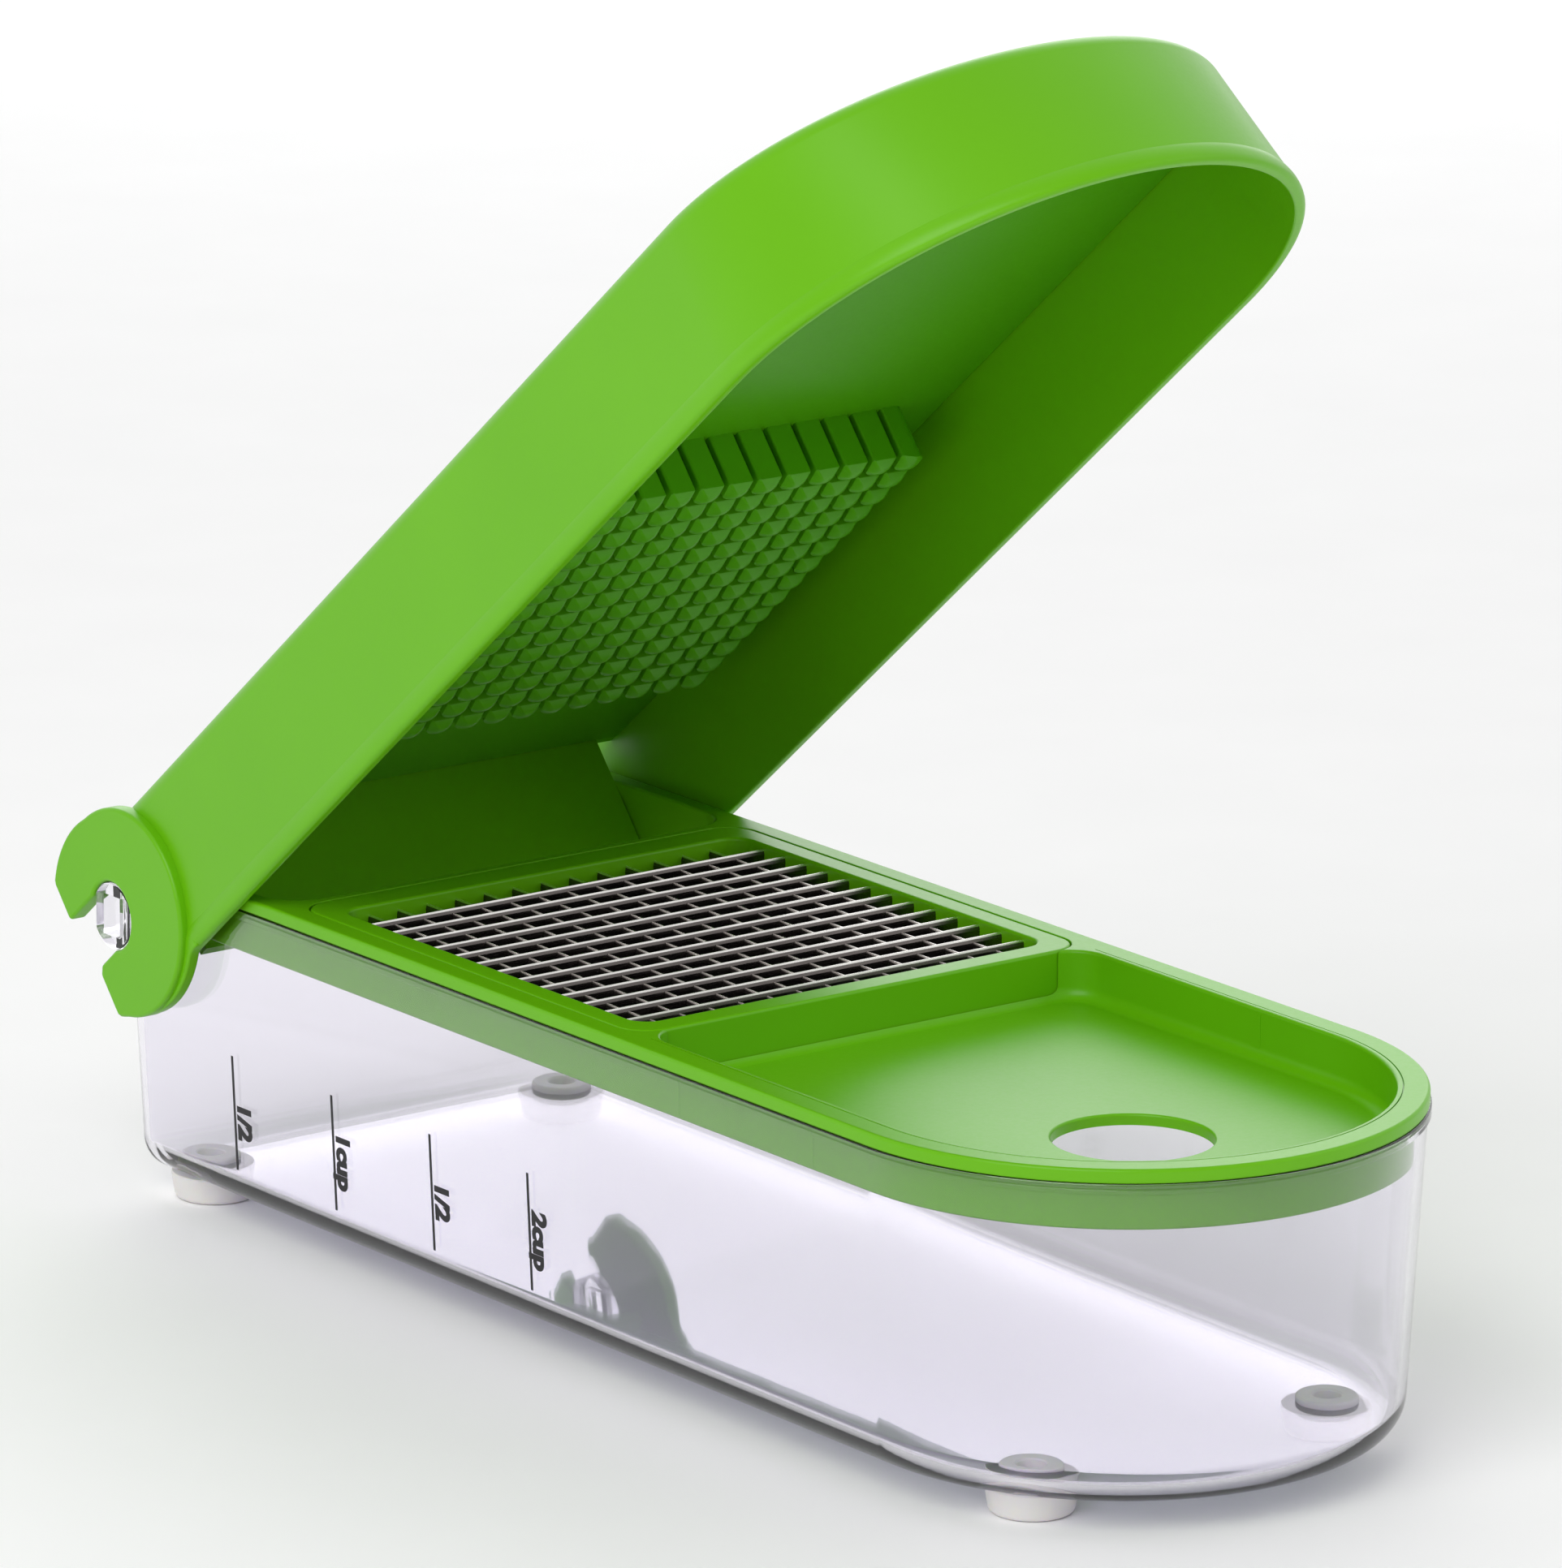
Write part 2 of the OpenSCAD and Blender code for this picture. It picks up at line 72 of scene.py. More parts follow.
def srgb(code: str) -> tuple[float, float, float, float]:
    """Turn a hex colour into linear RGBA.

    Args:
        code: Six hex digits, with or without a leading hash.

    Returns:
        The linear colour, opaque.
    """
    digits = code.lstrip("#")
    values = [int(digits[i : i + 2], 16) / 255 for i in (0, 2, 4)]
    linear = [v / 12.92 if v <= 0.04045 else ((v + 0.055) / 1.055) ** 2.4 for v in values]
    return (*linear, 1.0)


def add_node(
    tree: bpy.types.NodeTree,
    kind: str,
    settings: dict[str, object] | None = None,
    values: dict[str, object] | None = None,
    links: dict[str, bpy.types.NodeSocket] | None = None,
) -> bpy.types.Node:
    """Add a shader node with its settings, socket values and incoming links.

    Args:
        tree: The material's node tree.
        kind: The node's type name.
        settings: Properties of the node.
        values: Default values by input name or number.
        links: Sockets that feed the inputs, by input name or number.

    Returns:
        The new node.
    """
    node = tree.nodes.new(kind)
    for name, value in (settings or {}).items():
        setattr(node, name, value)
    for name, value in (values or {}).items():
        node.inputs[name].default_value = value
    for name, socket in (links or {}).items():
        tree.links.new(socket, node.inputs[name])
    return node


# ---------------------------------------------------------------- finishes


@dataclass(frozen=True)
class MouldedPlastic:
    """Opaque injection-moulded plastic with a satin spark-eroded grain."""

    name: str
    colour: str
    shade: str
    roughness: float = 0.34
    ior: float = 1.5
    grain_mm: float = 0.9
    grain_depth_mm: float = 0.012
    cloud_mm: float = 38.0
    glow: float = 0.0
    gloss: float = 0.5

    def material(self) -> bpy.types.Material:
        """Build the material.

        Returns:
            A material whose colour drifts slightly between colour and shade, with a fine grain.
        """
        made = bpy.data.materials.new(self.name)
        made.use_nodes = True
        tree = made.node_tree
        tree.nodes.clear()
        place = add_node(tree, "ShaderNodeTexCoord").outputs["Object"]
        cloud = add_node(
            tree,
            "ShaderNodeTexNoise",
            values={"Scale": 1 / (self.cloud_mm * MM), "Detail": 2.0, "Roughness": 0.5},
            links={"Vector": place},
        )
        tone = add_node(
            tree,
            "ShaderNodeMix",
            settings={"data_type": "RGBA"},
            values={6: srgb(self.colour), 7: srgb(self.shade)},
            links={"Factor": cloud.outputs["Fac"]},
        )
        grain = add_node(
            tree,
            "ShaderNodeTexNoise",
            values={"Scale": 1 / (self.grain_mm * MM), "Detail": 3.0, "Roughness": 0.65},
            links={"Vector": place},
        )
        matt = add_node(
            tree,
            "ShaderNodeMapRange",
            values={"To Min": self.roughness - 0.05, "To Max": self.roughness + 0.06},
            links={"Value": grain.outputs["Fac"]},
        )
        bump = add_node(
            tree,
            "ShaderNodeBump",
            values={"Strength": 0.55, "Distance": self.grain_depth_mm * MM},
            links={"Height": grain.outputs["Fac"]},
        )
        shader = add_node(
            tree,
            "ShaderNodeBsdfPrincipled",
            values={
                "IOR": self.ior,
                "Specular IOR Level": self.gloss,
                "Subsurface Weight": self.glow,
                "Subsurface Radius": (0.6, 1.0, 0.15),
                "Subsurface Scale": 2.2 * MM,
            },
            links={
                "Base Color": tone.outputs[2],
                "Roughness": matt.outputs["Result"],
                "Normal": bump.outputs["Normal"],
            },
        )
        add_node(tree, "ShaderNodeOutputMaterial", links={"Surface": shader.outputs["BSDF"]})
        return made


@dataclass(frozen=True)
class ClearStyrene:
    """Clear SAN, moulded and polished: it bends light at its edges and lets lamps through."""

    name: str = "clear_san"
    tint: str = "#faf8fe"
    lamp_tint: str = "#c4c0ce"
    ior: float = 1.57
    roughness: float = 0.015
    ripple_mm: float = 22.0
    ripple_depth_mm: float = 0.05

    def material(self) -> bpy.types.Material:
        """Build the material.

        Returns:
            A transmitting material with a faint moulding ripple; lamps pass it without bending.
        """
        made = bpy.data.materials.new(self.name)
        made.use_nodes = True
        tree = made.node_tree
        tree.nodes.clear()
        place = add_node(tree, "ShaderNodeTexCoord").outputs["Object"]
        ripple = add_node(
            tree,
            "ShaderNodeTexNoise",
            values={"Scale": 1 / (self.ripple_mm * MM), "Detail": 1.0},
            links={"Vector": place},
        )
        bump = add_node(
            tree,
            "ShaderNodeBump",
            values={"Strength": 0.25, "Distance": self.ripple_depth_mm * MM},
            links={"Height": ripple.outputs["Fac"]},
        )
        clear = add_node(
            tree,
            "ShaderNodeBsdfPrincipled",
            values={
                "Base Color": srgb(self.tint),
                "Roughness": self.roughness,
                "IOR": self.ior,
                "Specular IOR Level": 0.5,
                "Transmission Weight": 1.0,
            },
            links={"Normal": bump.outputs["Normal"]},
        )
        lamp = add_node(tree, "ShaderNodeBsdfTransparent", values={"Color": srgb(self.lamp_tint)})
        path = add_node(tree, "ShaderNodeLightPath")
        either = add_node(
            tree,
            "ShaderNodeMixShader",
            links={
                0: path.outputs["Is Shadow Ray"],
                1: clear.outputs["BSDF"],
                2: lamp.outputs["BSDF"],
            },
        )
        add_node(tree, "ShaderNodeOutputMaterial", links={"Surface": either.outputs["Shader"]})
        return made


@dataclass(frozen=True)
class GroundSteel:
    """Stainless strip steel with soft streaks: flanks darkened with painted shade, and a ground edge
    brightened with a painted highlight.
    """

    name: str
    edge_mm: float
    # The flank colour is darkened as painted shade; the ground colour over the top grind_mm is a
    # painted highlight on a ground edge.
    colour: str = "#6b6563"
    ground: str = "#f2efec"
    grind_mm: float = 0.28
    roughness: float = 0.24
    streak_mm: float = 0.35
    streak_length: float = 14.0
    along_x: bool = True

    def material(self) -> bpy.types.Material:
        """Build the material.

        Returns:
            A metal whose roughness runs in streaks along the strip, with painted shade darkening its
            flanks and a painted highlight at its ground edge.
        """
        made = bpy.data.materials.new(self.name)
        made.use_nodes = True
        tree = made.node_tree
        tree.nodes.clear()
        place = add_node(tree, "ShaderNodeTexCoord").outputs["Object"]
        fine = 1 / (self.streak_mm * MM)
        coarse = fine / self.streak_length
        scale = (coarse, fine, fine) if self.along_x else (fine, coarse, fine)
        stretched = add_node(
            tree, "ShaderNodeMapping", values={"Scale": scale}, links={"Vector": place}
        )
        streak = add_node(
            tree,
            "ShaderNodeTexNoise",
            values={"Scale": 1.0, "Detail": 3.0},
            links={"Vector": stretched.outputs["Vector"]},
        )
        matt = add_node(
            tree,
            "ShaderNodeMapRange",
            values={"To Min": self.roughness - 0.08, "To Max": self.roughness + 0.14},
            links={"Value": streak.outputs["Fac"]},
        )
        bump = add_node(
            tree,
            "ShaderNodeBump",
            values={"Strength": 0.3, "Distance": 0.01 * MM},
            links={"Height": streak.outputs["Fac"]},
        )
        # The strip's top band turns to the ground colour: a painted highlight on the ground edge,
        # over flanks with painted shade.
        height = add_node(tree, "ShaderNodeSeparateXYZ", links={0: place})
        edge = add_node(
            tree,
            "ShaderNodeMapRange",
            values={
                "From Min": (self.edge_mm - self.grind_mm - 0.1) * MM,
                "From Max": (self.edge_mm - self.grind_mm) * MM,
            },
            links={"Value": height.outputs["Z"]},
        )
        tone = add_node(
            tree,
            "ShaderNodeMix",
            settings={"data_type": "RGBA"},
            values={6: srgb(self.colour), 7: srgb(self.ground)},
            links={"Factor": edge.outputs["Result"]},
        )
        shader = add_node(
            tree,
            "ShaderNodeBsdfPrincipled",
            values={"Metallic": 1.0},
            links={
                "Base Color": tone.outputs[2],
                "Roughness": matt.outputs["Result"],
                "Normal": bump.outputs["Normal"],
            },
        )
        add_node(tree, "ShaderNodeOutputMaterial", links={"Surface": shader.outputs["BSDF"]})
        return made


# ABS from a satin mould: an even strong green whose soft sheen follows the light.
GREEN = MouldedPlastic("green_abs", "#6cbb08", "#66b307", gloss=0.28)
# The same ABS made a deeper green for the plate and pins inside the lid: painted shade, so that the
# pins read against the lid.
SHADED_GRID_GREEN = MouldedPlastic("green_abs_grid_painted_shade", "#58ab08", "#509f06", roughness=0.38, gloss=0.25)
# Soft elastomer: milky, with light scattered inside it and no clear highlight.
FOOT = MouldedPlastic("frosted_tpe", "#eeecea", "#e0dddb", roughness=0.5, grain_mm=0.5, glow=0.35)
# Pad-printed ink: flat black that stands out from the clear wall.
INK = MouldedPlastic("black_pad_ink", "#141216", "#1d1a1f", roughness=0.55, grain_mm=0.3)
# SAN from a polished mould: glassy walls with darker edges and a faint violet cast.
CLEAR = ClearStyrene()
# Stainless strip: flanks darkened with painted shade under a thin bright line, where the edge is
# ground, with a painted highlight.
CROSS_STEEL = GroundSteel("ground_steel_cross_painted_light", 64.3)
LONG_STEEL = GroundSteel("ground_steel_long_painted_light", 63.5, along_x=False)


# ---------------------------------------------------------------- outlines and lofts


@dataclass
class NoseOutline:
    """Plan outline with a rounded front and rounded rear corners."""

    half: float
    tip: float
    nose: float
    rear: float
    corner: float
    arc_steps: int = 72
    side_steps: int = 20
    corner_steps: int = 8

    def inset(self, step: float, rear_step: float | None = None) -> NoseOutline:
        """Return the outline moved inwards by a step, or outwards where it is negative.

        Args:
            step: How far the front and sides move.
            rear_step: How far the rear moves, where that differs.

        Returns:
            The moved outline.
        """
        back = step if rear_step is None else rear_step
        corner = max(self.corner - step, LEAST_CORNER)
        return NoseOutline(
            self.half - step, self.tip + step, self.nose - step, self.rear - back, corner,
            self.arc_steps, self.side_steps, self.corner_steps,
        )

    def points(self) -> list[Point2]:
        """Walk the outline counter-clockwise from the left end of the front arc.

        Returns:
            The corner-free list of points, always the same count for the same steps.
        """
        middle = self.tip + self.nose
        out = [
            (self.half * math.cos(a), middle + self.nose * math.sin(a))
            for a in (math.pi * (1 + i / self.arc_steps) for i in range(self.arc_steps + 1))
        ]
        turn = self.rear - self.corner
        out += [
            (self.half, middle + (turn - middle) * i / self.side_steps)
            for i in range(1, self.side_steps)
        ]
        for side, start in ((1, 0.0), (-1, math.pi / 2)):
            for i in range(self.corner_steps + 1):
                a = start + math.pi / 2 * i / self.corner_steps
                x = side * (self.half - self.corner) + self.corner * math.cos(a)
                out.append((x, turn + self.corner * math.sin(a)))
        out += [
            (-self.half, turn + (middle - turn) * i / self.side_steps)
            for i in range(1, self.side_steps)
        ]
        return out


@dataclass
class BoxOutline:
    """Rounded rectangle in plan, symmetric about x = 0."""

    half: float
    front: float
    rear: float
    corner: float
    corner_steps: int = 8

    def inset(self, step: float) -> BoxOutline:
        """Return the rectangle moved inwards by a step, or outwards where it is negative.

        Args:
            step: How far each side moves.

        Returns:
            The moved rectangle.
        """
        corner = max(self.corner - step, LEAST_CORNER)
        return BoxOutline(
            self.half - step, self.front + step, self.rear - step, corner, self.corner_steps
        )

    def points(self) -> list[Point2]:
        """Walk the rectangle counter-clockwise from its front left corner.

        Returns:
            Points of (x, y), always the same count for the same steps.
        """
        out: list[Point2] = []
        corners = (
            (-1, self.front + self.corner, math.pi),
            (1, self.front + self.corner, 1.5 * math.pi),
            (1, self.rear - self.corner, 0.0),
            (-1, self.rear - self.corner, 0.5 * math.pi),
        )
        for side, y, start in corners:
            for i in range(self.corner_steps + 1):
                a = start + math.pi / 2 * i / self.corner_steps
                x = side * (self.half - self.corner) + self.corner * math.cos(a)
                out.append((x, y + self.corner * math.sin(a)))
        return out


@dataclass
class RoundOutline:
    """Circle in plan."""

    radius: float
    x: float
    y: float
    steps: int = 64

    def inset(self, step: float) -> RoundOutline:
        """Return the circle with a smaller radius, or a larger one where the step is negative."""
        return RoundOutline(self.radius - step, self.x, self.y, self.steps)

    def points(self) -> list[Point2]:
        """Walk the circle counter-clockwise."""
        turns = (2 * math.pi * i / self.steps for i in range(self.steps))
        return [
            (self.x + self.radius * math.cos(a), self.y + self.radius * math.sin(a)) for a in turns
        ]


Outline = NoseOutline | BoxOutline | RoundOutline


def quarter(steps: int = 4) -> list[tuple[float, float]]:
    """Return (sine, one minus cosine) along a quarter turn, both ends included."""
    angles = (math.pi / 2 * i / steps for i in range(steps + 1))
    return [(math.sin(a), 1 - math.cos(a)) for a in angles]


def flat_ring(outline: Outline, z: float) -> Ring:
    """Lift an outline to a height."""
    return [(x, y, z) for x, y in outline.points()]


def mesh_object(name: str, build: bmesh.types.BMesh) -> bpy.types.Object:
    """Turn a bmesh in millimetres into a linked object in metres.

    Args:
        name: The object's name.
        build: The mesh, which is freed.

    Returns:
        The new object.
    """
    bmesh.ops.scale(build, vec=(MM, MM, MM), verts=build.verts)
    bmesh.ops.recalc_face_normals(build, faces=build.faces)
    mesh = bpy.data.meshes.new(name)
    build.to_mesh(mesh)
    build.free()
    made = bpy.data.objects.new(name, mesh)
    bpy.context.scene.collection.objects.link(made)
    return made


def loft(name: str, rings: Sequence[Ring]) -> bpy.types.Object:
    """Skin a closed solid over rings of equal count, capped at both ends.

    Args:
        name: The object's name.
        rings: Rings of points in millimetres, in order along the skin.

    Returns:
        The closed mesh object.
    """
    build = bmesh.new()
    rows = [[build.verts.new(p) for p in ring] for ring in rings]
    count = len(rows[0])
    for low, high in zip(rows, rows[1:]):
        for i in range(count):
            j = (i + 1) % count
            build.faces.new((low[i], low[j], high[j], high[i]))
    build.faces.new(list(reversed(rows[0])))
    build.faces.new(rows[-1])
    return mesh_object(name, build)


def well(
    name: str, outline: Outline, low: float, high: float, foot_r: float, rim_r: float
) -> bpy.types.Object:
    """Make the solid that cuts a well with a rounded foot and a rounded rim.

    Args:
        name: The cutter's name.
        outline: The well's outline between foot and rim.
        low: Height of the well's floor.
        high: Height of the face it opens in.
        foot_r: Radius between wall and floor, or 0.
        rim_r: Radius of the rim, or 0.

    Returns:
        The cutter, which reaches past the face.
    """
    rings: list[Ring] = []
    if foot_r:
        for sine, rise in quarter(6):
            rings.append(flat_ring(outline.inset(foot_r * (1 - sine)), low + foot_r * rise))
    else:
        rings.append(flat_ring(outline, low))
    if rim_r:
        for sine, rise in quarter(4):
            rings.append(flat_ring(outline.inset(-rim_r * rise), high - rim_r + rim_r * sine))
    rings.append(flat_ring(outline.inset(-rim_r), high + 3))
    return loft(name, rings)


def boolean(base: bpy.types.Object, others: Iterable[bpy.types.Object], operation: str) -> None:
    """Cut from or join to a solid, and drop the tools.

    Args:
        base: The solid that is changed.
        others: The tools, which are deleted.
        operation: DIFFERENCE or UNION.
    """
    for tool in others:
        step = base.modifiers.new(tool.name, "BOOLEAN")
        step.operation = operation
        step.solver = "EXACT"
        step.object = tool
        bake_modifiers(base)
        bpy.data.objects.remove(tool, do_unlink=True)


def bake_modifiers(piece: bpy.types.Object) -> None:
    """Replace a piece's mesh by what its modifiers make of it.

    Args:
        piece: The piece.
    """
    graph = bpy.context.evaluated_depsgraph_get()
    mesh = bpy.data.meshes.new_from_object(piece.evaluated_get(graph))
    piece.modifiers.clear()
    piece.data = mesh


def polish(piece: bpy.types.Object, crease_deg: float = 35.0) -> None:
    """Clean a finished mesh and shade it smooth except at its true edges.

    Args:
        piece: The piece.
        crease_deg: Angle above which an edge stays sharp.
    """
    build = bmesh.new()
    build.from_mesh(piece.data)
    bmesh.ops.remove_doubles(build, verts=build.verts, dist=0.002 * MM)
    bmesh.ops.dissolve_degenerate(build, edges=build.edges, dist=0.001 * MM)
    build.to_mesh(piece.data)
    build.free()
    piece.data.shade_smooth()
    piece.data.set_sharp_from_angle(angle=math.radians(crease_deg))
    weigh = piece.modifiers.new("weighted", "WEIGHTED_NORMAL")
    weigh.keep_sharp = True
    weigh.weight = 80
    bake_modifiers(piece)


def dress(piece: bpy.types.Object, material: bpy.types.Material) -> None:
    """Give a whole piece one material."""
    piece.data.materials.clear()
    piece.data.materials.append(material)


def settle(
    piece: bpy.types.Object,
    body: str,
    material: bpy.types.Material,
    nodes: Sequence[str] = (),
) -> None:
    """Dress a piece, put it on its body and hide the nodes it stands for.

    Args:
        piece: The piece.
        body: The body it rides.
        material: Its material.
        nodes: The frame's nodes it stands for.
    """
    dress(piece, material)
    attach(piece, body)
    if nodes:
        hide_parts(*nodes)
    LOG.info("%s: %d faces on %s", piece.name, len(piece.data.polygons), body)


def node_box(name: str) -> tuple[Vector, Vector]:
    """Return a node's lowest and highest corners in millimetres."""
    low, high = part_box(name)
    return Vector(low) / MM, Vector(high) / MM


class Side(Enum):
    """Left and right of the dicer."""

    LEFT = -1
    RIGHT = 1


# ---------------------------------------------------------------- container


@dataclass
class Container:
    """Clear tub with a beaded rim, a rolled foot and two moulded hinge pins."""

    wall: float = 1.6
    floor: float = 2.3
    draft_deg: float = 3.0
    corner: float = 8.0
    roll: float = 6.0
    bead: float = 0.5
    bead_height: float = 1.8
    pin_radius: float = 6.3
    pin_flat: float = 10.8
    pin_drop: float = 8.4
    pin_recess: Point2 = (7.6, 5.2)
    stem_radius: float = 3.6
    mark_xs: tuple[float, ...] = (69.5, 38.4, 8.3, -21.0)
    mark_names: tuple[str, ...] = ("1/2", "1cup", "1/2", "2cup")
    mark_top: float = 28.8
    mark_length: float = 21.6
    flange_step: float = 0.3
    low: Vector = field(init=False)
    high: Vector = field(init=False)
    half: float = field(init=False)
    slope: float = field(init=False)

    def __post_init__(self) -> None:
        """Read the tub's box from the frame."""
        self.low, self.high = node_box("container")
        self.half = node_box("insert_frame")[1].x + self.flange_step
        self.slope = math.tan(math.radians(self.draft_deg))

    @property
    def outline(self) -> NoseOutline:
        """The bead's outline at the rim."""
        return NoseOutline(self.half, self.low.y, self.half, self.high.y, self.corner)

    def lean(self, z: float) -> float:
        """Return how far the wall stands in from the bead at a height."""
        return self.bead + (self.high.z - z) * self.slope

    def tub(self) -> bpy.types.Object:
        """Build the tub as one closed skin, from the outer floor round the rim to the inner floor.

        Returns:
            The tub, without its pins and foot holes.
        """
        rim, base, ring = self.high.z, self.low.z, self.outline
        rings = [flat_ring(ring.inset(self.lean(base) + self.roll + 1.5), base)]
        for sine, rise in quarter(8):
            z = base + self.roll * rise
            rings.append(flat_ring(ring.inset(self.lean(z) + self.roll * (1 - sine)), z))
        under = rim - self.bead_height
        for z in (base + self.roll + 12, base + self.roll + 30, under - 0.4):
            rings.append(flat_ring(ring.inset(self.lean(z)), z))
        soft = 0.35
        for sine, rise in quarter(3):
            z = under - soft * 0.5 + soft * 0.6 * rise
            rings.append(flat_ring(ring.inset(self.lean(under) * (1 - sine)), z))
        for sine, rise in quarter(4):
            rings.append(flat_ring(ring.inset(soft * rise), rim - soft + soft * sine))
        inner = self.bead + self.wall
        for sine, rise in reversed(quarter(4)):
            rings.append(flat_ring(ring.inset(inner - soft * rise), rim - soft + soft * sine))
        inside = base + self.floor
        roll = self.roll - self.wall
        for z in (rim - 10, rim - 28, inside + roll + 6):
            rings.append(flat_ring(ring.inset(self.lean(z) + self.wall), z))
        for sine, rise in reversed(quarter(8)):
            z = inside + roll * rise
            rings.append(flat_ring(ring.inset(self.lean(z) + self.wall + roll * (1 - sine)), z))
        return loft("container_shell", rings)

    def hinge_pin(self, side: Side) -> bpy.types.Object:
        """Build one hinge pin with its flats and the recess in its end.

        Args:
            side: The side it stands on.

        Returns:
            The pin, from inside the wall to its end.
        """
        axis_y, axis_z = Hinge.place()
        root = self.half - self.lean(axis_z - self.pin_radius) - self.wall / 2
        end = self.high.x
        edge = 0.5

        def contour(shrink: float) -> list[Point2]:
            """Return the pin's section with its two flats, shrunk by a step."""
            radius, flat = self.pin_radius - shrink, self.pin_flat / 2 - shrink
            turns = (2 * math.pi * i / 96 for i in range(96))
            pts = [(radius * math.cos(a), radius * math.sin(a)) for a in turns]
            return [(max(-flat, min(flat, y)), z) for y, z in pts]

        stations = [(root, 0.0)] + [(end - edge + edge * s, edge * c) for s, c in quarter(4)]
        rings = [
            [(side.value * x, axis_y + y, axis_z + z) for y, z in contour(shrink)]
            for x, shrink in stations
        ]
        pin = loft(f"pin_{side.name.lower()}", rings)
        tall, wide = self.pin_recess
        depth = 2.4
        cut = [
            [
                (side.value * x, axis_y + sy * (wide / 2 - t), axis_z + sz * (tall / 2 - t))
                for sy, sz in ((-1, -1), (1, -1), (1, 1), (-1, 1))
            ]
            for x, t in ((end - depth, 0.35), (end + 1, -0.15))
        ]
        boolean(pin, [loft("recess", cut)], "DIFFERENCE")
        return pin

    def marks(self, material: bpy.types.Material) -> None:
        """Print the measure on the left wall: a line and a plain figure at each level.

        Args:
            material: The ink.
        """
        grid_y = BladeInsert.grid_y()
        skin = 0.05
        for number, (at, name) in enumerate(zip(self.mark_xs, self.mark_names), 1):
            y = grid_y + at
            top = self.high.z - self.mark_top
            foot = top - self.mark_length
            line = bmesh.new()
            corners = []
            for z in (top, foot):
                x = -(self.half - self.lean(z))
                for dy in (-0.32, 0.32):
                    for out in (-0.02, skin):
                        corners.append(line.verts.new((x - out, y + dy, z)))
            ends_and_sides = (
                (0, 1, 3, 2), (4, 6, 7, 5), (0, 4, 5, 1), (2, 3, 7, 6), (0, 2, 6, 4), (1, 5, 7, 3)
            )
            for quad in ends_and_sides:
                line.faces.new([corners[i] for i in quad])
            settle(mesh_object(f"measure_line_{number}", line), "base", material)
            middle = top - 0.555 * self.mark_length
            self.figure(f"measure_figure_{number}", name, y, middle, material)

    def figure(
        self, label: str, text: str, y: float, z: float, material: bpy.types.Material
    ) -> None:
        """Print one plain figure beside its line, reading downwards.

        Args:
            label: The piece's name.
            text: What it says.
            y: The line's place along the wall.
            z: The height of the figure's middle.
            material: The ink.
        """
        curve = bpy.data.curves.new(label, "FONT")
        curve.body = text
        curve.size = 5.6
        curve.offset = 0.3
        curve.align_x = "CENTER"
        curve.align_y = "BOTTOM_BASELINE"
        curve.extrude = 0.03
        writer = bpy.data.objects.new(label, curve)
        bpy.context.scene.collection.objects.link(writer)
        graph = bpy.context.evaluated_depsgraph_get()
        mesh = bpy.data.meshes.new_from_object(writer.evaluated_get(graph))
        bpy.data.objects.remove(writer, do_unlink=True)
        x = -(self.half - self.lean(z)) - 0.03
        tilt = math.radians(self.draft_deg)
        # The figures' right runs down the wall and their up points towards the nose.
        right = Vector((math.sin(tilt), 0, -math.cos(tilt)))
        up = Vector((0, -1, 0))
        out = right.cross(up)
        turn = Matrix((right, up, out)).transposed().to_4x4()
        place = Matrix.Translation(Vector((x, y - 1.1, z)))
        mesh.transform(Matrix.Scale(MM, 4) @ place @ turn)
        made = bpy.data.objects.new(label, mesh)
        bpy.context.scene.collection.objects.link(made)
        settle(made, "base", material)

    def build(
        self, clear: bpy.types.Material, foot: bpy.types.Material, ink: bpy.types.Material
    ) -> None:
        """Build the tub with its pins, feet and printed measure.

        Args:
            clear: The tub's plastic.
            foot: The feet's elastomer.
            ink: The measure's ink.
        """
        shell = self.tub()
        holes = []
        feet = Foot.stations()
        for name, x, y in feet:
            hole = RoundOutline(self.stem_radius, x, y, 40)
            ends = [flat_ring(hole, self.low.z - 1), flat_ring(hole, self.low.z + 4)]
            holes.append(loft(f"hole_{name}", ends))
        boolean(shell, holes, "DIFFERENCE")
        boolean(shell, [self.hinge_pin(side) for side in Side], "UNION")
        polish(shell)
        settle(shell, "base", clear, ["container"])
        for name, x, y in feet:
            settle(Foot(x, y).mesh(f"{name}_cap"), "base", foot, [name])
        self.marks(ink)


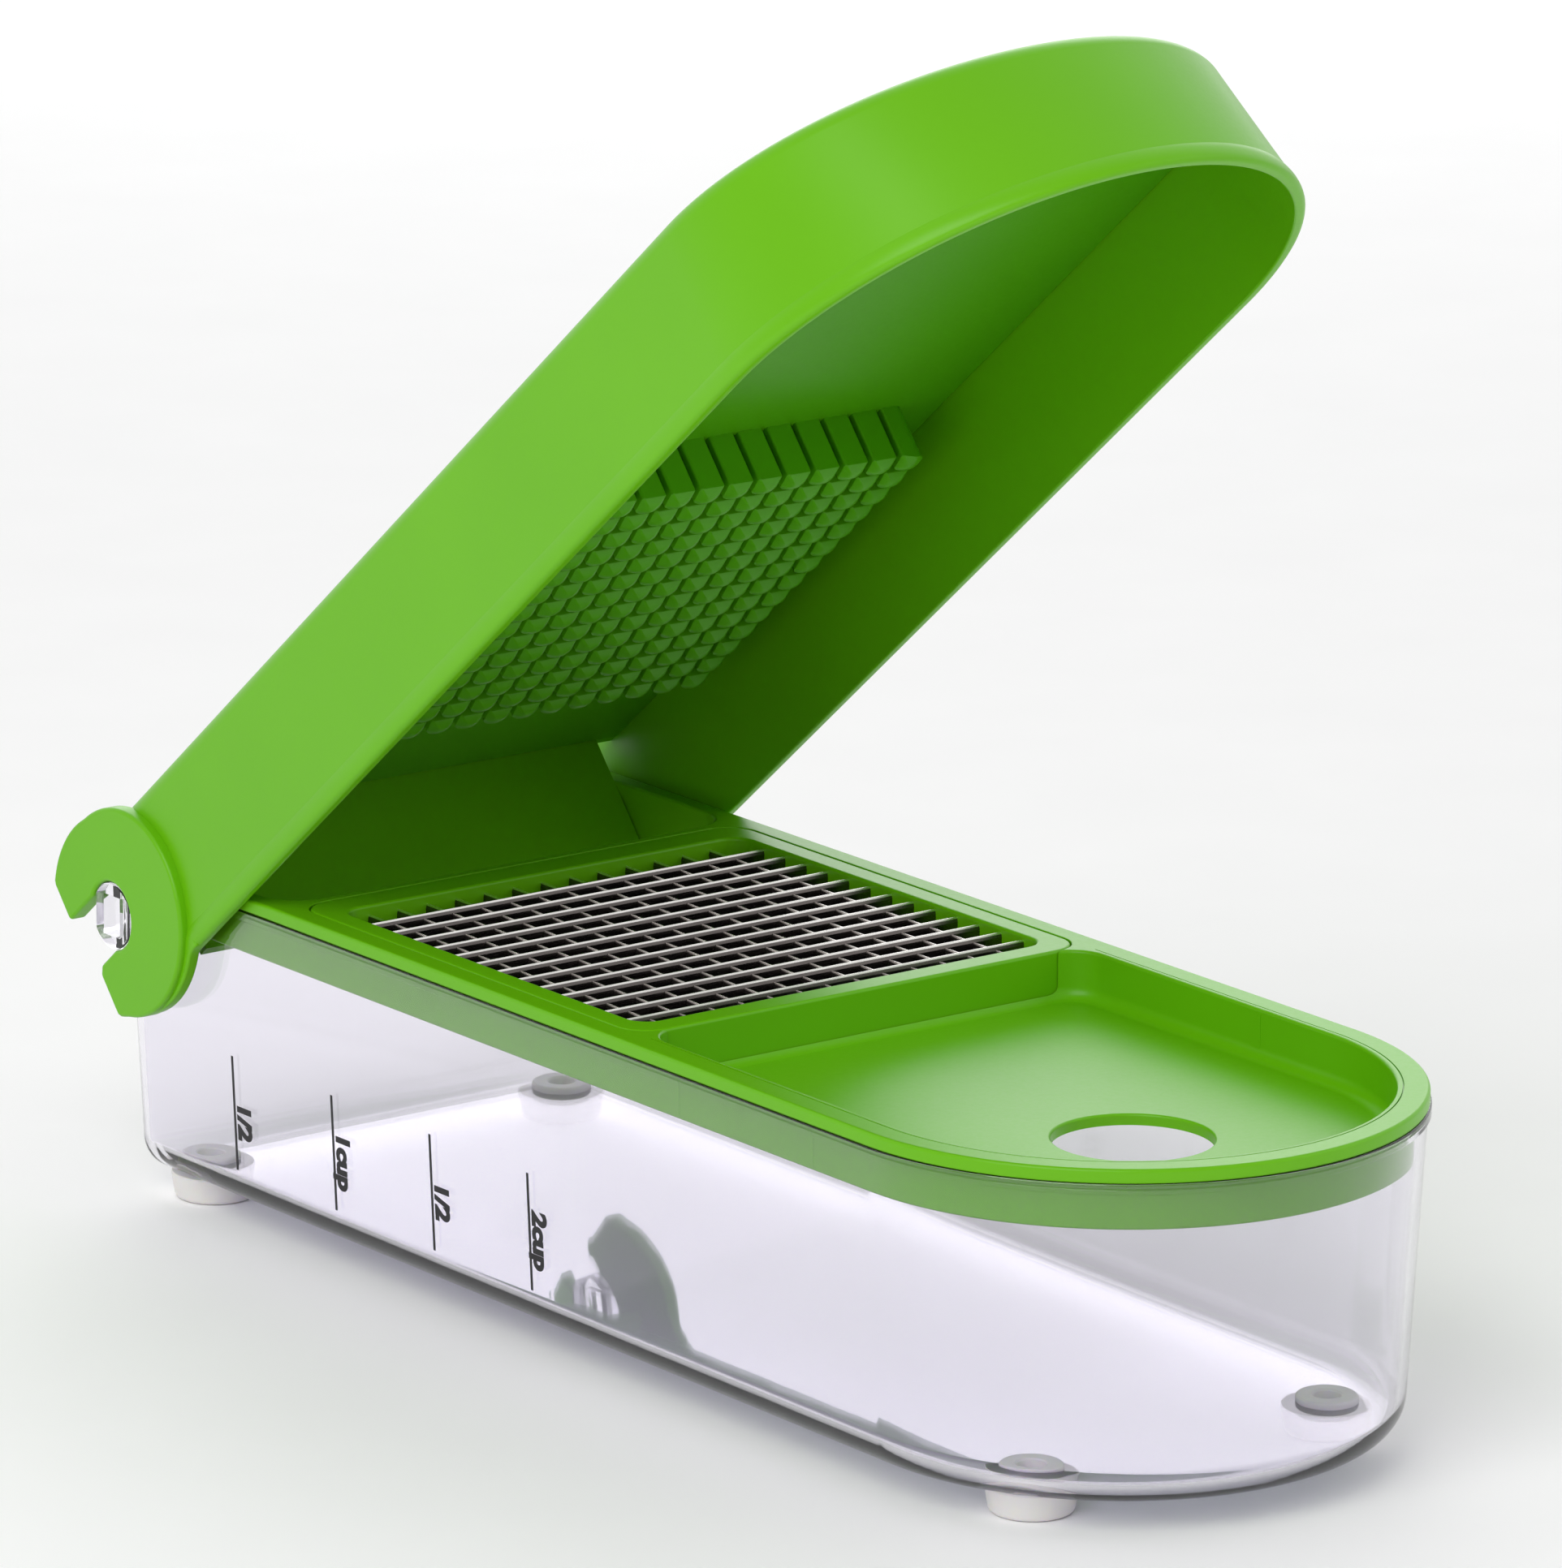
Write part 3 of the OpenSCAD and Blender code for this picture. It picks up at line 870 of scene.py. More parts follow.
@dataclass
class Foot:
    """Soft foot pushed through the floor: a tapered pad, a stem and a button inside."""

    x: float
    y: float
    pad_radius: float = 8.4
    tip_radius: float = 7.5
    stem_radius: float = 3.5
    button_radius: float = 5.5
    button_height: float = 1.2
    dimple_radius: float = 2.5

    @staticmethod
    def stations() -> list[tuple[str, float, float]]:
        """Return each foot's name and centre.

        Returns:
            A list of (name, x, y) in the frame's order of names.
        """
        found = []
        for name in sorted(frame["nodes"]):
            if name.startswith("foot_"):
                low, high = node_box(name)
                found.append((name, (low.x + high.x) / 2, (low.y + high.y) / 2))
        return found

    def mesh(self, name: str) -> bpy.types.Object:
        """Turn the foot on its axis.

        Args:
            name: The piece's name.

        Returns:
            The foot.
        """
        container = node_box("container")[0].z
        inside = container + Container.floor
        top = inside + self.button_height
        edge = 1.2
        profile: list[Point2] = [(self.tip_radius - edge - 2.5, 0.0)]
        profile += [(self.tip_radius - edge + edge * s, edge * c) for s, c in quarter(5)]
        profile += [(self.pad_radius - 0.3, container - 0.3), (self.pad_radius - 0.5, container)]
        profile += [(self.stem_radius, container), (self.stem_radius, inside)]
        profile += [(self.button_radius, inside)]
        profile += [(self.button_radius - 0.5 * c, top - 0.5 + 0.5 * s) for s, c in quarter(4)]
        profile += [(self.dimple_radius + 0.3, top), (self.dimple_radius, top - 0.3)]
        profile += [(self.dimple_radius, inside - 0.6)]
        rings = [flat_ring(RoundOutline(r, self.x, self.y, 48), z) for r, z in profile]
        foot = loft(name, rings)
        polish(foot)
        return foot


# ---------------------------------------------------------------- insert and blades


@dataclass
class BladeInsert:
    """Green insert frame with its tray, and the cassette that holds the crossed blades."""

    flange: float = 2.5
    skirt_inset: float = 2.5
    tray_wall: float = 3.2
    tray_corner: float = 7.0
    cassette_corner: float = 6.0
    seat_gap: float = 0.2
    window_corner: float = 4.0
    window_half: float = 44.45
    window_front: float = 5.3
    window_rear: float = 6.9
    seat_relief: float = 0.4
    rail: float = 1.05
    rear_bar: float = 10.4
    rear_corner: float = 8.0
    hole_radius: float = 14.0
    hole_from_tip: float = 48.7
    edge: float = 0.6
    tray_fillet: float = 2.4
    tray_floor: float = 2.0
    seam_offset: float = 1.1
    witness_ys: tuple[float, ...] = (-102.6, -65.1)

    @staticmethod
    def grid_y() -> float:
        """Return where the middle cross blade stands along Y.

        Returns:
            Its middle in millimetres.
        """
        crosses = sorted(n for n in frame["nodes"] if n.startswith("cross_blade_"))
        low, high = node_box(crosses[len(crosses) // 2])
        return (low.y + high.y) / 2

    def frame_solid(self) -> bpy.types.Object:
        """Build the insert's frame with its wells, windows and the parting seam round the tray.

        Returns:
            The frame, with the mould's witness lines.
        """
        low, high = node_box("insert_frame")
        shelf = high.z - self.flange
        half = high.x
        outer = NoseOutline(half, low.y, half, high.y, 7.7)
        skirt = outer.inset(self.skirt_inset)
        soft = 0.5
        rings = [flat_ring(skirt.inset(soft * (1 - s)), low.z + soft * c) for s, c in quarter(4)]
        rings.append(flat_ring(skirt, shelf - 0.02))
        rings += [flat_ring(outer.inset(0.3 * (1 - s)), shelf + 0.3 * c) for s, c in quarter(3)]
        rings += [
            flat_ring(outer.inset(self.edge * c), high.z - self.edge + self.edge * s)
            for s, c in quarter(5)
        ]
        body = loft("insert_moulding", rings)
        cassette_low, cassette_high = node_box("blade_cassette")
        floor = low.z + self.tray_floor
        tray = NoseOutline(
            skirt.half - self.tray_wall, skirt.tip + self.tray_wall, skirt.half - self.tray_wall,
            cassette_low.y + 0.2, self.tray_corner,
        )
        seat = BoxOutline(
            cassette_high.x + self.seat_gap, cassette_low.y - self.seat_gap,
            cassette_high.y + self.seat_gap, self.cassette_corner + self.seat_gap,
        )
        window = BoxOutline(
            self.window_half + self.seat_relief,
            cassette_low.y + self.window_front - self.seat_relief,
            cassette_high.y - self.window_rear + self.seat_relief, self.window_corner,
        )
        rear = BoxOutline(
            skirt.half - self.rail, cassette_high.y + 2.2,
            outer.rear + 0.3 - self.rear_bar, self.rear_corner,
        )
        hole = RoundOutline(self.hole_radius, 0.0, low.y - 0.3 + self.hole_from_tip, 72)
        cutters = [
            well("tray", tray, floor, high.z, self.tray_fillet, self.edge),
            well("seat", seat, floor, high.z, 0, 0.15),
            well("window", window, low.z - 1, high.z, 0, 0),
            well("rear", rear, low.z - 1, high.z, 0, self.edge),
            well("hole", hole, low.z - 1, floor, 0, 0.5),
        ]
        boolean(body, cutters, "DIFFERENCE")
        seam = tray.inset(-self.seam_offset)
        seam.rear = tray.rear - 3.5
        seam.corner = 0.5
        boolean(body, [self.seam_cutter(seam, high.z)], "DIFFERENCE")
        lines = []
        for side in Side:
            for number, at in enumerate(self.witness_ys):
                y = self.grid_y() + at
                x = side.value * skirt.half
                label = f"skirt_{side.name}_{number}"
                lines.append(self.witness(label, x, y, low.z + 0.6, shelf + 0.5))
            x, y = side.value * tray.half, self.grid_y() - 100
            lines.append(self.witness(f"tray_{side.name}", x, y, floor + 1.5, high.z - 0.9))
        boolean(body, lines, "UNION")
        return body

    def witness(self, name: str, x: float, y: float, low: float, high: float) -> bpy.types.Object:
        """Make the faint upright line that a slider of the mould leaves on a wall.

        Args:
            name: The line's name.
            x: The wall's face.
            y: The line's place along the wall.
            low: Its foot.
            high: Its head.

        Returns:
            The line as a thin bar.
        """
        half, proud = 0.22, 0.07
        build = bmesh.new()
        ring = [
            (x - proud, y - half), (x + proud, y - half), (x + proud, y + half), (x - proud, y + half)
        ]
        foot = [build.verts.new((px, py, low)) for px, py in ring]
        head = [build.verts.new((px, py, high)) for px, py in ring]
        for i in range(4):
            j = (i + 1) % 4
            build.faces.new((foot[i], foot[j], head[j], head[i]))
        build.faces.new(foot)
        build.faces.new(head)
        return mesh_object(name, build)

    @staticmethod
    def seam_cutter(line: NoseOutline, top: float) -> bpy.types.Object:
        """Make the thin open band that cuts the parting seam beside the tray's rim.

        Args:
            line: The outline that the seam follows.
            top: Height of the face that it is cut in.

        Returns:
            The cutter.
        """
        middle = line.tip + line.nose
        steps = 96
        path = [(-line.half, line.rear)]
        path += [
            (line.half * math.cos(a), middle + line.nose * math.sin(a))
            for a in (math.pi * (1 + i / steps) for i in range(steps + 1))
        ]
        path.append((line.half, line.rear))
        width, depth = 0.13, 0.35
        build = bmesh.new()
        rows = []
        for i, (x, y) in enumerate(path):
            nx, ny = x / line.half, 0.0
            if 0 < i < len(path) - 1:
                nx, ny = x / line.half, (y - middle) / line.nose
                size = math.hypot(nx, ny) or 1.0
                nx, ny = nx / size, ny / size
            row = []
            for side, z in ((-1, top - depth), (1, top - depth), (1, top + 1), (-1, top + 1)):
                row.append(build.verts.new((x + side * width * nx, y + side * width * ny, z)))
            rows.append(row)
        for a, b in zip(rows, rows[1:]):
            for i in range(4):
                j = (i + 1) % 4
                build.faces.new((a[i], a[j], b[j], b[i]))
        build.faces.new(rows[0])
        build.faces.new(list(reversed(rows[-1])))
        return mesh_object("seam", build)

    def cassette_solid(self) -> bpy.types.Object:
        """Build the cassette as a rounded frame round the blades.

        Returns:
            The cassette.
        """
        low, high = node_box("blade_cassette")
        outer = BoxOutline(high.x, low.y, high.y, self.cassette_corner)
        rings = [flat_ring(outer.inset(0.2), low.z), flat_ring(outer, low.z + 0.2)]
        rings += [
            flat_ring(outer.inset(self.edge * c), high.z - self.edge + self.edge * s)
            for s, c in quarter(5)
        ]
        body = loft("cassette_moulding", rings)
        window = BoxOutline(
            self.window_half, low.y + self.window_front, high.y - self.window_rear, self.window_corner
        )
        boolean(body, [well("window", window, low.z - 1, high.z, 0, self.edge)], "DIFFERENCE")
        return body

    def build(
        self, green: bpy.types.Material, cross: bpy.types.Material, along: bpy.types.Material
    ) -> None:
        """Build the frame and cassette, and dress the blades.

        Args:
            green: The mouldings' plastic.
            cross: The steel of the cross blades.
            along: The steel of the lengthwise blades.
        """
        moulding = self.frame_solid()
        polish(moulding)
        settle(moulding, "base", green, ["insert_frame"])
        cassette = self.cassette_solid()
        polish(cassette)
        settle(cassette, "base", green, ["blade_cassette"])
        for name, node in frame["nodes"].items():
            if name.startswith("cross_blade_"):
                dress(node, cross)
            elif name.startswith("long_blade_"):
                dress(node, along)


# ---------------------------------------------------------------- lid


class Hinge:
    """The lid's hinge, read from the frame, and the turn from the closed to the rest pose."""

    open_deg: float = 40.0

    @staticmethod
    def place() -> Point2:
        """Return the axis' place along Y and Z in millimetres."""
        joint = frame["record"]["behaviour"]["joints"][0]
        return joint["pos_m"][1] / MM, joint["pos_m"][2] / MM

    @classmethod
    def opened(cls, piece: bpy.types.Object) -> bpy.types.Object:
        """Turn a piece drawn closed about the origin to its rest pose on the hinge.

        Args:
            piece: The piece.

        Returns:
            The same piece.
        """
        y, z = cls.place()
        turn = Matrix.Rotation(-math.radians(cls.open_deg), 4, "X")
        move = Matrix.Translation(Vector((0, y, z)) * MM)
        piece.data.transform(move @ turn)
        return piece


@dataclass
class Lid:
    """Pusher lid, drawn closed with the hinge axis at the origin."""

    half: float = 56.3
    inner: float = 54.1
    wall: float = 2.2
    top: float = 14.9
    lip: float = -16.6
    under: float = 12.7
    edge: float = 3.4
    lean: float = 0.8
    lip_reach: float = 13.4
    top_reach: float = 2.8
    nose_in: float = 47.2
    curtain: float = 11.5
    curtain_thick: float = 2.2
    curtain_drop: float = 15.0
    curtain_half: float = 49.4
    curtain_low: float = 11.7
    lip_bead: float = 0.35
    lip_bead_height: float = 3.9
    hook_out: float = 57.8
    hook_in: float = 54.25
    hook_radius: float = 18.6
    heel_centre: Point2 = (-3.4, -1.1)
    heel_radius: float = 19.3
    web_centre: Point2 = (-5.0, -1.0)
    web_radius: float = 19.8
    blend_radius: float = 4.0
    upper_flat: float = 12.7
    lower_flat: float = 10.1
    slot_half: float = 5.6
    bore: float = 6.38
    flare: float = 1.4
    nose_out: float = field(init=False)

    def __post_init__(self) -> None:
        """Read how far the container's nose stands from the hinge."""
        self.nose_out = Hinge.place()[0] - node_box("container")[0].y

    def reach(self, z: float) -> float:
        """Return the wall's overhang beyond the container's nose at a height."""
        slant = self.top_reach - self.lip_reach
        return self.lip_reach + slant * (z - self.lip) / (self.top - self.lip)

    def outer(self, z: float) -> NoseOutline:
        """Return the shell's outer outline at a height, before its edge is rounded.

        Args:
            z: Height above the hinge axis, lid closed.

        Returns:
            The outline.
        """
        share = (z - self.lip) / (self.top - self.lip)
        reach = self.reach(z)
        return NoseOutline(
            self.half - self.lean * share, -self.nose_out - reach, self.nose_in + reach,
            -self.curtain, 1.2, 96, 36, 5,
        )

    def inner_outline(self, z: float) -> NoseOutline:
        """Return the cavity's outline at a height.

        Args:
            z: Height above the hinge axis, lid closed.

        Returns:
            The outline.
        """
        reach = self.reach(z) - self.wall
        return NoseOutline(
            self.inner, -self.nose_out - reach, self.nose_in + reach,
            -self.curtain - self.curtain_thick, 1.2, 96, 36, 5,
        )

    def shell(self) -> bpy.types.Object:
        """Build the lid's shell as one skin: top, side, beaded lip, inner wall and underside.

        Returns:
            The shell, without its hooks.
        """
        rings = [flat_ring(self.outer(self.top).inset(self.edge + 6), self.top)]
        for sine, rise in reversed(quarter(8)):
            z = self.top - self.edge + self.edge * sine
            rings.append(flat_ring(self.outer(z).inset(self.edge * rise), z))
        neck = self.lip + self.lip_bead_height
        for share in (0.2, 0.45, 0.7):
            z = self.top - self.edge + (neck - self.top + self.edge) * share
            rings.append(flat_ring(self.outer(z), z))
        rings.append(flat_ring(self.outer(neck + 0.12), neck + 0.12))
        swell = self.lip_bead_height
        # The bead's section: share of its height from the top, and share of its overhang.
        section = (
            (0.0, 0.12), (0.1, 0.45), (0.25, 0.8), (0.45, 1.0), (0.65, 0.85), (0.8, 0.4), (0.9, -0.3)
        )
        for share, out in section:
            z = neck - swell * share
            rings.append(flat_ring(self.outer(z).inset(-self.lip_bead * out), z))
        rings.append(flat_ring(self.outer(self.lip).inset(0.55), self.lip + 0.08))
        rings.append(flat_ring(self.outer(self.lip).inset(0.95), self.lip))
        soft = 0.4
        for sine, rise in quarter(3):
            z = self.lip + soft * rise
            rings.append(flat_ring(self.inner_outline(z).inset(-soft * (1 - sine)), z))
        for share in (0.3, 0.6, 0.85):
            z = self.lip + (self.under - self.lip) * share
            rings.append(flat_ring(self.inner_outline(z), z))
        rings.append(flat_ring(self.inner_outline(self.under), self.under))
        body = loft("lid_moulding", rings)
        notches = []
        for side in Side:
            x0, x1 = self.curtain_half, self.inner
            near, far = -self.curtain - self.curtain_thick - 1.5, -self.curtain + 1
            corners = ((x0, near), (x1, near), (x1, far), (x0, far))
            base = [(side.value * x, y) for x, y in corners]
            rings = [[(x, y, z) for x, y in base] for z in (self.lip - 2, self.curtain_low)]
            notches.append(loft(f"notch_{side.name}", rings))
        flat = BoxOutline(
            self.inner, -self.curtain - self.curtain_thick - 1.5, -self.curtain + 1, 0.5, 2
        )
        ends = [flat_ring(flat, self.lip - 2), flat_ring(flat, -self.curtain_drop)]
        notches.append(loft("foot", ends))
        boolean(body, notches, "DIFFERENCE")
        return body

    @staticmethod
    def reach_to_circle(angle: float, centre: Point2, radius: float) -> float:
        """Return how far a ray from the axis runs to a circle that holds the axis."""
        along = centre[0] * math.cos(angle) + centre[1] * math.sin(angle)
        return along + math.sqrt(radius**2 - centre[0] ** 2 - centre[1] ** 2 + along**2)

    def hook_contour(self, centre: Point2, radius: float) -> list[Point2]:
        """Walk a hook's contour in the plane across the axis.

        Args:
            centre: Centre of the heel's circle.
            radius: Radius of the heel's circle.

        Returns:
            Points of (y, z), counter-clockwise, with the open slot towards the rear.
        """
        upper = math.atan2(self.slot_half, self.upper_flat)
        lower = math.atan2(-self.slot_half - self.flare, self.lower_flat)
        steps = 110
        out = []
        for i in range(steps + 1):
            a = upper + (2 * math.pi + lower - upper) * i / steps
            reach = max(self.hook_radius, self.reach_to_circle(a, centre, radius))
            if math.cos(a) > 0.05:
                flat = self.upper_flat if math.sin(a) > 0 else self.lower_flat
                reach = min(reach, flat / math.cos(a))
            out.append((reach * math.cos(a), reach * math.sin(a)))
        out.append((self.lower_flat - self.flare, -self.slot_half))
        mouth = math.asin(self.slot_half / self.bore)
        turns = 40
        for i in range(turns + 1):
            a = 2 * math.pi - mouth - (2 * math.pi - 2 * mouth) * i / turns
            out.append((self.bore * math.cos(a), self.bore * math.sin(a)))
        return out

    def plate(
        self, name: str, contour: list[Point2], x0: float, x1: float, soft: float
    ) -> bpy.types.Object:
        """Extrude a contour along X and round the edge of its outer face.

        Args:
            name: The plate's name.
            contour: Points of (y, z).
            x0: The plain face's place along X.
            x1: The rounded face's place along X.
            soft: The edge's radius.

        Returns:
            The plate.
        """
        build = bmesh.new()
        base = [build.verts.new((x0, y, z)) for y, z in contour]
        cap = [build.verts.new((x1, y, z)) for y, z in contour]
        count = len(contour)
        for i in range(count):
            j = (i + 1) % count
            build.faces.new((base[i], base[j], cap[j], cap[i]))
        build.faces.new(list(reversed(base)))
        build.faces.new(cap)
        made = mesh_object(name, build)
        bevel = made.modifiers.new("edge", "BEVEL")
        bevel.width = soft * MM
        bevel.segments = 3
        bevel.limit_method = "ANGLE"
        bevel.angle_limit = math.radians(40)
        bevel.use_clamp_overlap = True
        bake_modifiers(made)
        return made

    def web_contour(self) -> list[Point2]:
        """Walk the web that carries the hook's heel into the lid's lip with a hollow curve.

        Returns:
            Points of (y, z).
        """
        cy, cz = self.web_centre
        drop = cz - self.lip + self.blend_radius
        blend_y = cy - math.sqrt((self.web_radius + self.blend_radius) ** 2 - drop**2)
        out: list[Point2] = [(blend_y - 1.5, self.lip + 2.5), (blend_y - 1.5, self.lip)]
        touch = math.atan2(drop, cy - blend_y)
        for i in range(9):
            a = math.pi / 2 - (math.pi / 2 - touch) * i / 8
            y = blend_y + self.blend_radius * math.cos(a)
            out.append((y, self.lip - self.blend_radius + self.blend_radius * math.sin(a)))
        start = math.atan2(-drop, blend_y - cy)
        end = -math.radians(60)
        for i in range(1, 25):
            a = start + (end - start) * i / 24
            out.append((cy + self.web_radius * math.cos(a), cz + self.web_radius * math.sin(a)))
        out.append((out[-1][0], self.lip + 2.5))
        return out

    def hooks(self) -> list[bpy.types.Object]:
        """Build both hooks: a proud plate, and the web that joins it to the lip.

        Returns:
            Each plate and web.
        """
        made = []
        for side in Side:
            s = side.value
            label = side.name.lower()
            face = self.hook_contour(self.heel_centre, self.heel_radius)
            made.append(self.plate(f"hook_{label}", face, s * self.hook_in, s * self.hook_out, 0.7))
            web = self.web_contour()
            outside = s * (self.half + 0.3)
            made.append(self.plate(f"web_{label}", web, s * self.hook_in, outside, 0.5))
        return made

    def build(self, green: bpy.types.Material) -> None:
        """Build the lid's shell with its hooks.

        Args:
            green: The lid's plastic.
        """
        shell = self.shell()
        boolean(shell, self.hooks(), "UNION")
        polish(shell)
        settle(Hinge.opened(shell), "lid", green, ["lid_shell"])


@dataclass
class Pusher:
    """Plate under the lid's top with a square grid of domed pins."""

    lid: Lid
    low: float = 11.3
    gap: float = 0.15
    pitch: float = 6.35
    rows: int = 14
    side_gap: float = 0.25
    blade: float = 0.6
    edge_height: float = 10.0
    length: float = 11.2
    dome: float = 0.14
    corner: float = 0.45
    rear_corner: float = 2.1
    clear_corner: float = 2.4

    def plate(self) -> bpy.types.Object:
        """Build the plate that lines the underside of the lid's top.

        Returns:
            The plate.
        """
        outline = self.lid.inner_outline(self.lid.under).inset(self.gap)
        soft = 0.3
        rings = [flat_ring(outline, self.lid.under - 0.02)]
        rings += [
            flat_ring(outline.inset(soft * c), self.low + soft - soft * s) for s, c in quarter(3)
        ]
        return loft("pusher_moulding", rings)

    def pin(self, build: bmesh.types.BMesh, x: float, y0: float, y1: float, outer: int) -> None:
        """Add one pin: flat in front, rounded at the rear, with a shallow domed tip.

        Args:
            build: The mesh that takes it.
            x: The pin's middle along X.
            y0: Its face towards the front.
            y1: Its face towards the hinge.
            outer: Side of the front corner that clears the window's corner, or 0.
        """
        half_x = (self.pitch - self.blade) / 2 - self.side_gap
        half_y, y = (y1 - y0) / 2, (y0 + y1) / 2
        tip = self.low - self.length
        outline = []
        for sx, sy, start in ((1, 1, 0.0), (-1, 1, 0.5), (-1, -1, 1.0), (1, -1, 1.5)):
            corner = self.rear_corner if sy > 0 else self.corner
            if sy < 0 and sx == outer:
                corner = self.clear_corner
            for i in range(7):
                a = math.pi * (start + 0.5 * i / 6)
                px = sx * (half_x - corner) + corner * math.cos(a)
                py = sy * (half_y - corner) + corner * math.sin(a)
                outline.append((px, py))

        def crown(scale: float) -> list[bmesh.types.BMVert]:
            """Add one ring of the domed tip, at a share of the pin's outline."""
            bulge = self.dome * scale**2
            return [
                build.verts.new((x + px * scale, y + py * scale, tip + bulge * (px**2 + py**2)))
                for px, py in outline
            ]

        rows = [[build.verts.new((x + px, y + py, self.low + 0.4)) for px, py in outline]]
        rows += [crown(scale) for scale in (1.0, 0.94, 0.7, 0.4)]
        for a, b in zip(rows, rows[1:]):
            for i in range(len(a)):
                j = (i + 1) % len(a)
                build.faces.new((a[i], b[i], b[j], a[j]))
        build.faces.new(list(reversed(rows[0])))
        point = build.verts.new((x, y, tip))
        last = rows[-1]
        for i in range(len(last)):
            build.faces.new((last[i], point, last[(i + 1) % len(last)]))

    def pins(self) -> bpy.types.Object:
        """Build every pin, each cut back towards the hinge by what the closing arc needs.

        Returns:
            All the pins as one mesh.
        """
        build = bmesh.new()
        grid = BladeInsert.grid_y() - Hinge.place()[0]
        half = self.rows * self.pitch / 2
        wall = self.blade / 2 + self.side_gap
        tip = self.low - self.length
        for row in range(self.rows):
            y = grid - half + row * self.pitch
            rear = y + self.pitch
            swing = (self.edge_height**2 - tip**2) / (2 * abs(rear))
            for column in range(self.rows):
                x = -half + (column + 0.5) * self.pitch
                outer = 0 if row else (column == self.rows - 1) - (column == 0)
                self.pin(build, x, y + wall, rear - wall - swing, outer)
        return mesh_object("pins", build)

    def build(self, green: bpy.types.Material) -> None:
        """Join the plate and pins into one piece on the lid.

        Args:
            green: The grid's plastic, the lid's green darkened with painted shade.
        """
        plate = self.plate()
        pins = self.pins()
        polish(plate)
        polish(pins, 50.0)
        both = bmesh.new()
        both.from_mesh(plate.data)
        both.from_mesh(pins.data)
        both.to_mesh(plate.data)
        both.free()
        bpy.data.objects.remove(pins, do_unlink=True)
        settle(Hinge.opened(plate), "lid", green, ["pusher_grid"])


# ---------------------------------------------------------------- studio


